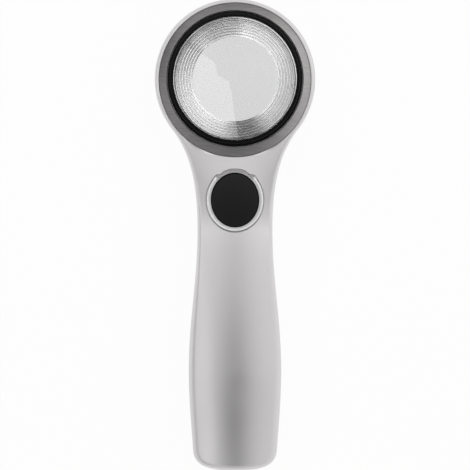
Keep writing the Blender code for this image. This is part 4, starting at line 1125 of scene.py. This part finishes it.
# Main board: a plate of glass-fibre board under the button. The push switch and the lamp driver are soldered
# on it, and the switch's white plunger stands under the cap.
BOARD_HALF_WIDTH = 0.0066
BOARD_END_Y = -0.00425
BOARD_TOP_Y = 0.02475
BOARD_LOW = 0.0060
BOARD_HIGH = 0.0072
BOARD_CORNER = 0.0010
CHIP_HALF = 0.0020
CHIP_Y = -0.00025
CHIP_LOW = 0.0075
CHIP_HIGH = 0.0087
CHIP_CORNER = 0.0002
CHIP_ROUND = 0.00012
SWITCH_HALF = 0.0030
SWITCH_LOW = 0.0075
SWITCH_HIGH = 0.0094
SWITCH_CORNER = 0.0005
SWITCH_ROUND = 0.0002
PLUNGER_RADIUS = 0.00145
PLUNGER_LOW = 0.0085
PLUNGER_HIGH = 0.0124
PLUNGER_ROUND = 0.0003

board_outline = box_outline((-BOARD_HALF_WIDTH, BOARD_END_Y), (BOARD_HALF_WIDTH, BOARD_TOP_Y), BOARD_CORNER)
piece(
    "green_main_board", [plate(board_outline, BOARD_LOW, BOARD_HIGH, BOARD_EDGE_ROUND)],
    [mask_finishes[False]], "case", ["main_board"],
)
chip_outline = square_outline(0, CHIP_Y, CHIP_HALF, CHIP_CORNER)
piece(
    "black_driver_chip", [plate(chip_outline, CHIP_LOW, CHIP_HIGH, CHIP_ROUND)],
    [satin_abs], "case", ["driver_chip"],
)
switch_outline = square_outline(0, BUTTON_Y, SWITCH_HALF, SWITCH_CORNER)
piece(
    "black_push_switch", [plate(switch_outline, SWITCH_LOW, SWITCH_HIGH, SWITCH_ROUND)],
    [satin_abs], "case", ["switch_body"],
)
plunger_profile = softened([
    (0, PLUNGER_LOW),
    (PLUNGER_RADIUS, PLUNGER_LOW),
    (PLUNGER_RADIUS, PLUNGER_HIGH),
    (0, PLUNGER_HIGH),
], PLUNGER_ROUND)
plunger_profile[:, 0] = np.maximum(plunger_profile[:, 0], 0)
piece(
    "white_switch_plunger", [turned(plunger_profile, (0, BUTTON_Y, 0), SMALL_ROUND_STEPS)],
    [lamp_case], "button", ["switch_plunger"],
)

# Springs: wound from nickel-plated steel wire, with a closed turn at each end. One lifts the button, and two
# conical ones press on the cells.
BUTTON_SPRING_LOW = 0.00778
BUTTON_SPRING_HIGH = 0.01212
BUTTON_SPRING_RADIUS = 0.0056
CELL_SPRING_WIDE = 0.00285
CELL_SPRING_NARROW = 0.0020
CELL_X = 0.0054
CELL_Z = 0.00735
CONTACT_SPRING_ENDS = (-0.02640, -0.02878)
BRIDGE_SPRING_ENDS = (-0.07330, -0.07092)
BUTTON_WIRE_RADIUS = 0.00023
CELL_WIRE_RADIUS = 0.00027
SPRING_TURNS = 2.5
SPRING_POINTS = 200


def tube(path, radius, axis, steps=14):
    """A round wire along a path: circles about it, set square to the path by the given axis.

    The first and last circle close to a point at the wire's ends.
    """
    ahead = np.gradient(path, axis=0)
    ahead /= np.linalg.norm(ahead, axis=1, keepdims=True)
    aside = np.cross(ahead, axis)
    aside /= np.linalg.norm(aside, axis=1, keepdims=True)
    over = np.cross(ahead, aside)
    turn = np.linspace(0, 2 * math.pi, steps, endpoint=False)[None, :, None]
    circle = aside[:, None] * np.cos(turn) + over[:, None] * np.sin(turn)
    thick = np.full(len(path) + 2, radius)
    thick[[0, -1]] = 0
    rows = np.concatenate([[0], np.arange(len(path)), [len(path) - 1]])
    return grid(path[rows, None] + circle[rows] * thick[:, None, None], True)


def coil(start, end, start_radius, end_radius, upright):
    """A helix from start to end along Z or Y, its radius changing evenly, with a closed turn at each end."""
    share = np.linspace(0, 1, SPRING_POINTS)
    turn = 2 * math.pi * (SPRING_TURNS + 2) * share
    rise = np.clip(((SPRING_TURNS + 2) * share - 1) / SPRING_TURNS, 0, 1)[:, None]
    radius = start_radius + (end_radius - start_radius) * rise[:, 0]
    middle = np.array(start) + (np.array(end) - np.array(start)) * rise
    out = np.zeros((SPRING_POINTS, 3))
    out[:, 0] = np.cos(turn)
    out[:, 1 if upright else 2] = np.sin(turn)
    return middle + out * radius[:, None]


button_coil = coil(
    (0, BUTTON_Y, BUTTON_SPRING_LOW), (0, BUTTON_Y, BUTTON_SPRING_HIGH),
    BUTTON_SPRING_RADIUS, BUTTON_SPRING_RADIUS, True,
)
button_spring = piece(
    "button_return_spring", [tube(button_coil, BUTTON_WIRE_RADIUS, (0, 0, 1))],
    [nickel], "case", ["button_spring"],
)
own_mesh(button_spring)
for name, x, ends in (("contact", CELL_X, CONTACT_SPRING_ENDS), ("bridge", -CELL_X, BRIDGE_SPRING_ENDS)):
    cell_coil = coil((x, ends[0], CELL_Z), (x, ends[1], CELL_Z), CELL_SPRING_WIDE, CELL_SPRING_NARROW, False)
    piece(
        f"{name}_cell_spring", [tube(cell_coil, CELL_WIRE_RADIUS, (0, 1, 0))],
        [nickel], "case", [f"{name}_spring"],
    )

# Contacts: stamped from nickel-plated strip. Two small plates face the cells at the head end, and a long one
# bridges them at the other.
CONTACT_HALF = 0.0032
CONTACT_LOW = 0.00415
CONTACT_HIGH = 0.01055
CONTACT_PLACE = (-0.02585, -0.02535)
BRIDGE_HALF = 0.0086
BRIDGE_HIGH = 0.00815
BRIDGE_PLACE = (-0.07435, -0.07385)
STRIP_CORNER = 0.0008
STRIP_ROUND = 0.00012
UPRIGHT_AXES = (0, 2, 1)

for name, x in (("positive", -CELL_X), ("negative", CELL_X)):
    contact_outline = box_outline(
        (x - CONTACT_HALF, CONTACT_LOW), (x + CONTACT_HALF, CONTACT_HIGH), STRIP_CORNER
    )
    piece(
        f"{name}_cell_contact", [plate(contact_outline, *CONTACT_PLACE, STRIP_ROUND, UPRIGHT_AXES)],
        [nickel], "case", [f"contact_{name}"],
    )
bridge_outline = box_outline((-BRIDGE_HALF, CONTACT_LOW), (BRIDGE_HALF, BRIDGE_HIGH), STRIP_CORNER)
piece(
    "cell_bridge_plate", [plate(bridge_outline, *BRIDGE_PLACE, STRIP_ROUND, UPRIGHT_AXES)],
    [nickel], "case", ["bridge_plate"],
)

# Battery tray: a double trough moulded in grey ABS, open to the back, with a tab at its head end that is
# screwed to the front shell. It is a copy of the solid, welded and with its edges rounded.
TRAY_ROUND = 0.00015
TRAY_SHARP = math.radians(32)
TRAY_BEVEL_FROM = math.radians(50)

# Moulded grey ABS: matt, with the fine grain of an unpolished mould.
grey_abs = grained(
    "moulded_grey_ABS", {"Roughness": 0.5, "IOR": 1.53},
    MOULD_GRAIN, 3.0, tones=("#7C7C7F", "#88888B"), relief=(0.10, 0.00005),
)
tray_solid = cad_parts["battery_tray"].data
tray_corners = np.empty(len(tray_solid.vertices) * 3)
tray_solid.vertices.foreach_get("co", tray_corners)
tray_faces = np.empty(len(tray_solid.polygons) * 3, np.int32)
tray_solid.polygons.foreach_get("vertices", tray_faces)
tray = piece(
    "grey_battery_tray", [(tray_corners.reshape(-1, 3), tray_faces.reshape(-1, 3))],
    [grey_abs], "case", ["battery_tray"], TRAY_SHARP,
)
rounded = tray.modifiers.new("rounded_edges", "BEVEL")
rounded.width = TRAY_ROUND
rounded.segments = 2
rounded.limit_method = "ANGLE"
rounded.angle_limit = TRAY_BEVEL_FROM

# Cells: two AAA alkaline cells, head to tail. Each is a steel can in a printed film sleeve, left plain here,
# with its ends bare and a raised tip.
CELL_RADIUS = 0.00525
CELL_LENGTH = 0.0430
CELL_TIP = 0.0012
CELL_TIP_RADIUS = 0.0019
CELL_ROUND = 0.0004
CELLS = [("left", -CELL_X, -0.07035, 1), ("right", CELL_X, -0.02935, -1)]
CELL_STEPS = 64
CRIMP_ROWS = 5
CAN_STEP = 0.0003
CAN_SINK = 0.0002
BAND_SHARE = 0.14
BAND_BLUR = 0.0001
FILM_WRINKLE = 0.0040

# Film sleeve: a thin gloss film, pale grey with a slate band at the tip end.
sleeve_finishes = {}
for name, x, foot, ahead in CELLS:
    direction = "up" if ahead > 0 else "down"
    finish, tree, shader, place = finish_of(f"gloss_film_sleeve_{direction}", {"Roughness": 0.26})
    parts = add(tree, "ShaderNodeSeparateXYZ", {}, {0: place})
    band_y = foot + ahead * CELL_LENGTH * (1 - BAND_SHARE)
    band = add(
        tree, "ShaderNodeMapRange",
        {"From Min": band_y - ahead * BAND_BLUR, "From Max": band_y + ahead * BAND_BLUR},
        {"Value": parts.outputs["Y"]},
    )
    wrinkle = add(tree, "ShaderNodeTexNoise", {"Scale": 1 / FILM_WRINKLE, "Detail": 2.0}, {"Vector": place})
    steer(tree, band.outputs[0], tones=("#A9AEB3", "#596470"))
    steer(tree, wrinkle.outputs["Fac"], relief=(0.08, 0.0002))
    sleeve_finishes[name] = finish
crimp_turn = np.linspace(0, math.pi / 2, CRIMP_ROWS)
crimp_radius = CELL_RADIUS - CELL_ROUND * (1 - np.cos(crimp_turn))
crimp_reach = CELL_ROUND * np.sin(crimp_turn)
sleeve_profile = np.concatenate([
    np.stack([crimp_radius[::-1], CELL_ROUND - crimp_reach[::-1]], 1),
    np.stack([crimp_radius, CELL_LENGTH - CELL_ROUND + crimp_reach], 1),
])
can_radius = CELL_RADIUS - CELL_ROUND
can_profile = np.array([
    (can_radius, CELL_LENGTH),
    (can_radius - CAN_STEP, CELL_LENGTH - CAN_SINK),
    (CELL_TIP_RADIUS + CAN_STEP, CELL_LENGTH - CAN_SINK),
    (CELL_TIP_RADIUS, CELL_LENGTH),
    (CELL_TIP_RADIUS, CELL_LENGTH + CELL_TIP - CAN_SINK),
    (CELL_TIP_RADIUS - CAN_SINK, CELL_LENGTH + CELL_TIP),
    (0, CELL_LENGTH + CELL_TIP),
    (0, 0),
    (can_radius - 2 * CAN_STEP, 0),
    (can_radius - CAN_STEP, CAN_SINK),
    (can_radius, 0),
])
for name, x, foot, ahead in CELLS:
    sleeve_patch = turned(sleeve_profile * (1, ahead), (x, foot, CELL_Z), CELL_STEPS, True)
    can_patch = turned(can_profile * (1, ahead), (x, foot, CELL_Z), CELL_STEPS, True)
    piece(
        f"{name}_cell", [sleeve_patch, (*can_patch, 1)],
        [sleeve_finishes[name], nickel], "case", [f"battery_{name}"],
    )

# Wires: stranded copper in PVC, red for positive and black for negative. One pair runs from the board to the
# lamp ring and one to the cell contacts, soldered at their ends.
WIRE_RADIUS = 0.00046
WIRE_POINTS = 48
WIRE_MARKS = 0.0012
WIRE_LOW = 0.0052
LAMP_WIRE_X = 0.0015
LAMP_WIRE_Y = (0.02175, 0.0352)
LAMP_WIRE_TOP = 0.0092
CELL_WIRE_X = 0.0025
CELL_WIRE_Y = (-0.00125, -0.01425, -0.01835, -0.02505)
CELL_WIRE_TOP = 0.00835

# PVC: soft and slightly shiny, with faint marks along it.
pvc_finishes = {}
for colour, tones in (("red", ("#A81E1E", "#C22A26")), ("black", ("#161616", "#242424"))):
    pvc_finishes[colour] = grained(
        f"{colour}_PVC_insulation", {"Roughness": 0.42, "IOR": 1.52}, WIRE_MARKS, 2.0, tones=tones
    )
for pole, colour, side in (("positive", "red", -1), ("negative", "black", 1)):
    start, bend, end = np.array([
        (LAMP_WIRE_X * side, LAMP_WIRE_Y[0], WIRE_LOW),
        (LAMP_WIRE_X * side, LAMP_WIRE_Y[1], WIRE_LOW),
        (LAMP_WIRE_X * side, LAMP_WIRE_Y[1], LAMP_WIRE_TOP),
    ])
    lamp_route = bezier(start, bend, bend, end, WIRE_POINTS)
    cell_route = bezier(
        (CELL_WIRE_X * side, CELL_WIRE_Y[0], WIRE_LOW), (CELL_WIRE_X * side, CELL_WIRE_Y[1], WIRE_LOW),
        (CELL_X * side, CELL_WIRE_Y[2], CELL_WIRE_TOP), (CELL_X * side, CELL_WIRE_Y[3], CELL_WIRE_TOP),
        WIRE_POINTS,
    )
    for name, node, route in (("lamp", "led", lamp_route), ("cell", "battery", cell_route)):
        piece(
            f"{name}_wire_{pole}", [tube(route, WIRE_RADIUS, (1, 0, 0))],
            [pvc_finishes[colour]], "case", [f"{node}_wire_{pole}"],
        )

# Stage: a sheet of white paper that the hand lens lies on. Camera, mirror and glass rays see it as white,
# and a share of its own matt surface keeps the shadow.
FLOOR_HALF = 1.5
FLOOR_DROP = 0.0002
FLOOR_WHITE_SHARE = 0.95

floor_mesh = bpy.data.meshes.new("floor")
floor_plan = FLOOR_HALF * np.array([(-1, -1), (1, -1), (1, 1), (-1, 1)])
floor_mesh.from_pydata([(x, y, -FLOOR_DROP) for x, y in floor_plan], [], [(0, 1, 2, 3)])
floor = bpy.data.objects.new("floor", floor_mesh)
bpy.context.scene.collection.objects.link(floor)
paper, tree, shader, place = finish_of(
    "white_paper_floor", {"Base Color": linear("#F4F4F4"), "Roughness": 0.9, "Specular IOR Level": 0.0}
)
ray = add(tree, "ShaderNodeLightPath")
seen = add(
    tree, "ShaderNodeMath", {"operation": "MAXIMUM"},
    {0: ray.outputs["Is Camera Ray"], 1: ray.outputs["Is Glossy Ray"]},
)
seen = add(
    tree, "ShaderNodeMath", {"operation": "MAXIMUM"},
    {0: seen.outputs[0], 1: ray.outputs["Is Transmission Ray"]},
)
seen = add(tree, "ShaderNodeMath", {"operation": "MULTIPLY", 1: FLOOR_WHITE_SHARE}, {0: seen.outputs[0]})
white = add(tree, "ShaderNodeEmission", {"Color": (1, 1, 1, 1), "Strength": 1.0})
blend = add(
    tree, "ShaderNodeMixShader", {}, {0: seen.outputs[0], 1: shader.outputs[0], 2: white.outputs[0]}
)
tree.links.new(blend.outputs[0], tree.nodes["Material Output"].inputs["Surface"])
floor_mesh.materials.append(paper)

# The room: pale walls by their place in X, with a dark patch of ceiling over the handle's end. The ribs
# behind the lens see tones by bearing: dark beyond the head and beyond the handle, where a low wall is pale.
ROOM_DARK = 0.02
WALL_TONES = [
    (-1, 0.40), (-0.84, 0.44), (-0.65, 0.64), (-0.32, 0.78),
    (0, 0.50), (0.32, 0.78), (0.6, 0.78), (0.74, 0.74), (0.9, 0.85),
]
PATCH_HALF_WIDTH = 0.78
PATCH_HALF_LENGTH = 0.46
PATCH_Y = -0.20
OVERHEAD_TONE = 0.45
SLANTS = (0.16, 0.34)
BEARING_TONES = [
    (-180, 1.3), (-108, 2.15), (-92, 0.0), (-60, 0.0), (-46, 1.65), (-30, 0.2),
    (30, 2.0), (78, 2.15), (90, 0.0), (112, 0.0), (122, 2.3), (160, 2.15), (180, 1.3),
]
LOW_WALL_TONES = [(-116, 0.0), (-98, 1.9), (-76, 2.05), (-60, 1.0), (-46, 0.45), (-38, 0.0)]
LOW_WALL_SLANTS = (0.56, 0.72)

room = bpy.data.worlds.new("studio_room")
room.use_nodes = True
tree = room.node_tree
toward = add(tree, "ShaderNodeTexCoord").outputs["Generated"]
parts = add(tree, "ShaderNodeSeparateXYZ", {}, {0: toward})
across = add(tree, "ShaderNodeMapRange", {"From Min": -1.0}, {"Value": parts.outputs["X"]})
wall_stops = [((x + 1) / 2, tone) for x, tone in WALL_TONES]
pale = add(tree, "ShaderNodeValToRGB", {"stops": wall_stops}, {"Fac": across.outputs[0]})
on_patch = add(
    tree, "ShaderNodeMapping",
    {
        "Location": (0, -PATCH_Y / PATCH_HALF_LENGTH, 0),
        "Scale": (1 / PATCH_HALF_WIDTH, 1 / PATCH_HALF_LENGTH, 0),
    },
    {"Vector": toward},
)
off_patch = add(tree, "ShaderNodeVectorMath", {"operation": "LENGTH"}, {0: on_patch.outputs[0]})
share = add(
    tree, "ShaderNodeMapRange", {"interpolation_type": "SMOOTHSTEP"}, {"Value": off_patch.outputs["Value"]}
)
strength = add(tree, "ShaderNodeMix", {2: ROOM_DARK}, {0: share.outputs[0], 3: pale.outputs[0]})
bearing = add(
    tree, "ShaderNodeMath", {"operation": "ARCTAN2"}, {0: parts.outputs["Y"], 1: parts.outputs["X"]}
)
bearing = add(
    tree, "ShaderNodeMapRange", {"From Min": -math.pi, "From Max": math.pi}, {"Value": bearing.outputs[0]}
)
slant = add(tree, "ShaderNodeVectorMath", {"operation": "MULTIPLY", 1: (1, 1, 0)}, {0: toward})
slant = add(tree, "ShaderNodeVectorMath", {"operation": "LENGTH"}, {0: slant.outputs[0]})
around, shares = [], []
for tones, (start, full) in ((BEARING_TONES, SLANTS), (LOW_WALL_TONES, LOW_WALL_SLANTS)):
    stops = [(degrees / 360 + 0.5, tone) for degrees, tone in tones]
    around.append(add(tree, "ShaderNodeValToRGB", {"stops": stops}, {"Fac": bearing.outputs[0]}))
    shares.append(add(
        tree, "ShaderNodeMapRange",
        {"From Min": start, "From Max": full, "interpolation_type": "SMOOTHSTEP"},
        {"Value": slant.outputs["Value"]},
    ))
ribs_see = add(tree, "ShaderNodeMix", {2: OVERHEAD_TONE}, {0: shares[0].outputs[0], 3: around[0].outputs[0]})
ribs_see = add(
    tree, "ShaderNodeMath", {"operation": "MULTIPLY_ADD"},
    {0: around[1].outputs[0], 1: shares[1].outputs[0], 2: ribs_see.outputs[0]},
)
ray = add(tree, "ShaderNodeLightPath")
through_lens = add(
    tree, "ShaderNodeMath", {"operation": "GREATER_THAN", 1: 0.5}, {0: ray.outputs["Transmission Depth"]}
)
strength = add(
    tree, "ShaderNodeMix", {}, {0: through_lens.outputs[0], 2: strength.outputs[0], 3: ribs_see.outputs[0]}
)
tree.nodes["Background"].inputs["Color"].default_value = (1, 1, 1, 1)
tree.links.new(strength.outputs[0], tree.nodes["Background"].inputs["Strength"])
bpy.context.scene.world = room


# Soft boxes: one at each side, one over the head, and one each that lights the bezel and the front shell's
# neck alone.
def soft_box(name, place, target, width, height, watts, lights=(), choice="INCLUDE"):
    """A rectangular lamp that faces the target and lights all pieces, those named or all but those."""
    lamp = bpy.data.lights.new(name, "AREA")
    lamp.shape = "RECTANGLE"
    lamp.size = width
    lamp.size_y = height
    lamp.energy = watts
    made = bpy.data.objects.new(name, lamp)
    back = np.array(place) - np.array(target)
    flat_reach = math.hypot(back[0], back[1])
    made.location = place
    made.rotation_euler = (math.atan2(flat_reach, back[2]), 0, math.atan2(back[1], back[0]) + math.pi / 2)
    made.visible_camera = False
    bpy.context.scene.collection.objects.link(made)
    if lights:
        made.light_linking.receiver_collection = bpy.data.collections.new(name + "_lights")
        for lit in lights:
            made.light_linking.receiver_collection.objects.link(lit)
        for link in made.light_linking.receiver_collection.collection_objects:
            link.light_linking.link_state = choice
    return lamp


soft_box(
    "soft_box_left", (-0.50, -0.12, 0.36), (0, -0.04, 0), width=0.46, height=0.42, watts=0.30
)
soft_box(
    "soft_box_right", (0.45, 0.30, 0.30), (0, 0.05, 0), width=0.60, height=0.50, watts=0.30
)
soft_box(
    "soft_box_for_bezel", (0.44, 0.05, 0.34), (0, 0.05, 0),
    width=0.90, height=0.32, watts=0.98, lights=[bezel],
)
soft_box(
    "soft_box_over_head", (0, 0.25, 0.32), (0, 0.03, 0),
    width=0.70, height=0.40, watts=0.36, lights=[baffle, front_lens], choice="EXCLUDE",
)
soft_box(
    "soft_box_over_neck", (0, 0.055, 0.20), (0, 0.03, 0),
    width=0.36, height=0.08, watts=0.046, lights=[front_shell],
)

# A studio window high on the left, mirrored in the lens alone: bright where x is below its wavy edge at y.
PANE_EDGE = [
    (-0.24, 0.016), (-0.015, -0.013), (0.06, -0.028), (0.105, -0.088), (0.145, -0.098), (0.30, -0.30),
]
pane_low, pane_high = PANE_EDGE[0][0], PANE_EDGE[-1][0]
pane_left, pane_right = PANE_EDGE[-1][1], PANE_EDGE[0][1]
window = soft_box(
    "window_in_lens", (-0.20, 0.03, 0.60), (-0.20, 0.03, 0),
    width=0.58, height=0.46, watts=1.9, lights=[front_lens],
)
window.use_nodes = True
tree = window.node_tree
spot = add(tree, "ShaderNodeSeparateXYZ", {}, {0: add(tree, "ShaderNodeNewGeometry").outputs["Position"]})
along = add(
    tree, "ShaderNodeMapRange", {"From Min": pane_low, "From Max": pane_high}, {"Value": spot.outputs["Y"]}
)
edge_stops = [
    ((y - pane_low) / (pane_high - pane_low), (x - pane_left) / (pane_right - pane_left))
    for y, x in PANE_EDGE
]
edge_tone = add(tree, "ShaderNodeValToRGB", {"stops": edge_stops}, {"Fac": along.outputs[0]})
edge_tone.color_ramp.interpolation = "EASE"
edge_x = add(
    tree, "ShaderNodeMapRange", {"To Min": pane_left, "To Max": pane_right}, {"Value": edge_tone.outputs[0]}
)
inside = add(
    tree, "ShaderNodeMath", {"operation": "LESS_THAN"}, {0: spot.outputs["X"], 1: edge_x.outputs[0]}
)
# Only the mirror image in the front of the lens shows, not the second one from its back.
ray = add(tree, "ShaderNodeLightPath")
outside = add(
    tree, "ShaderNodeMath", {"operation": "LESS_THAN", 1: 0.5}, {0: ray.outputs["Transmission Depth"]}
)
shown = add(
    tree, "ShaderNodeMath", {"operation": "MULTIPLY"}, {0: inside.outputs[0], 1: outside.outputs[0]}
)
tree.links.new(shown.outputs[0], tree.nodes["Emission"].inputs["Strength"])

# Camera: looks almost straight down on the front from well above its middle, as the photograph does.
CAMERA_TARGET = (0, 0, 0.009)
CAMERA_DISTANCE = 0.80
CAMERA_TILT = math.radians(-1)
CAMERA_NEAR = 0.01
SENSOR = 36
FRAME_HEIGHT = 0.1645

camera_data = bpy.data.cameras.new("camera")
camera_data.sensor_width = SENSOR
camera_data.lens = SENSOR * CAMERA_DISTANCE / FRAME_HEIGHT
camera_data.clip_start = CAMERA_NEAR
camera = bpy.data.objects.new("camera", camera_data)
camera.location = (
    CAMERA_TARGET[0],
    CAMERA_TARGET[1] - CAMERA_DISTANCE * math.sin(CAMERA_TILT),
    CAMERA_TARGET[2] + CAMERA_DISTANCE * math.cos(CAMERA_TILT),
)
camera.rotation_euler = (CAMERA_TILT, 0, 0)
bpy.context.scene.collection.objects.link(camera)
bpy.context.scene.camera = camera
bpy.context.scene.view_settings.view_transform = "Standard"
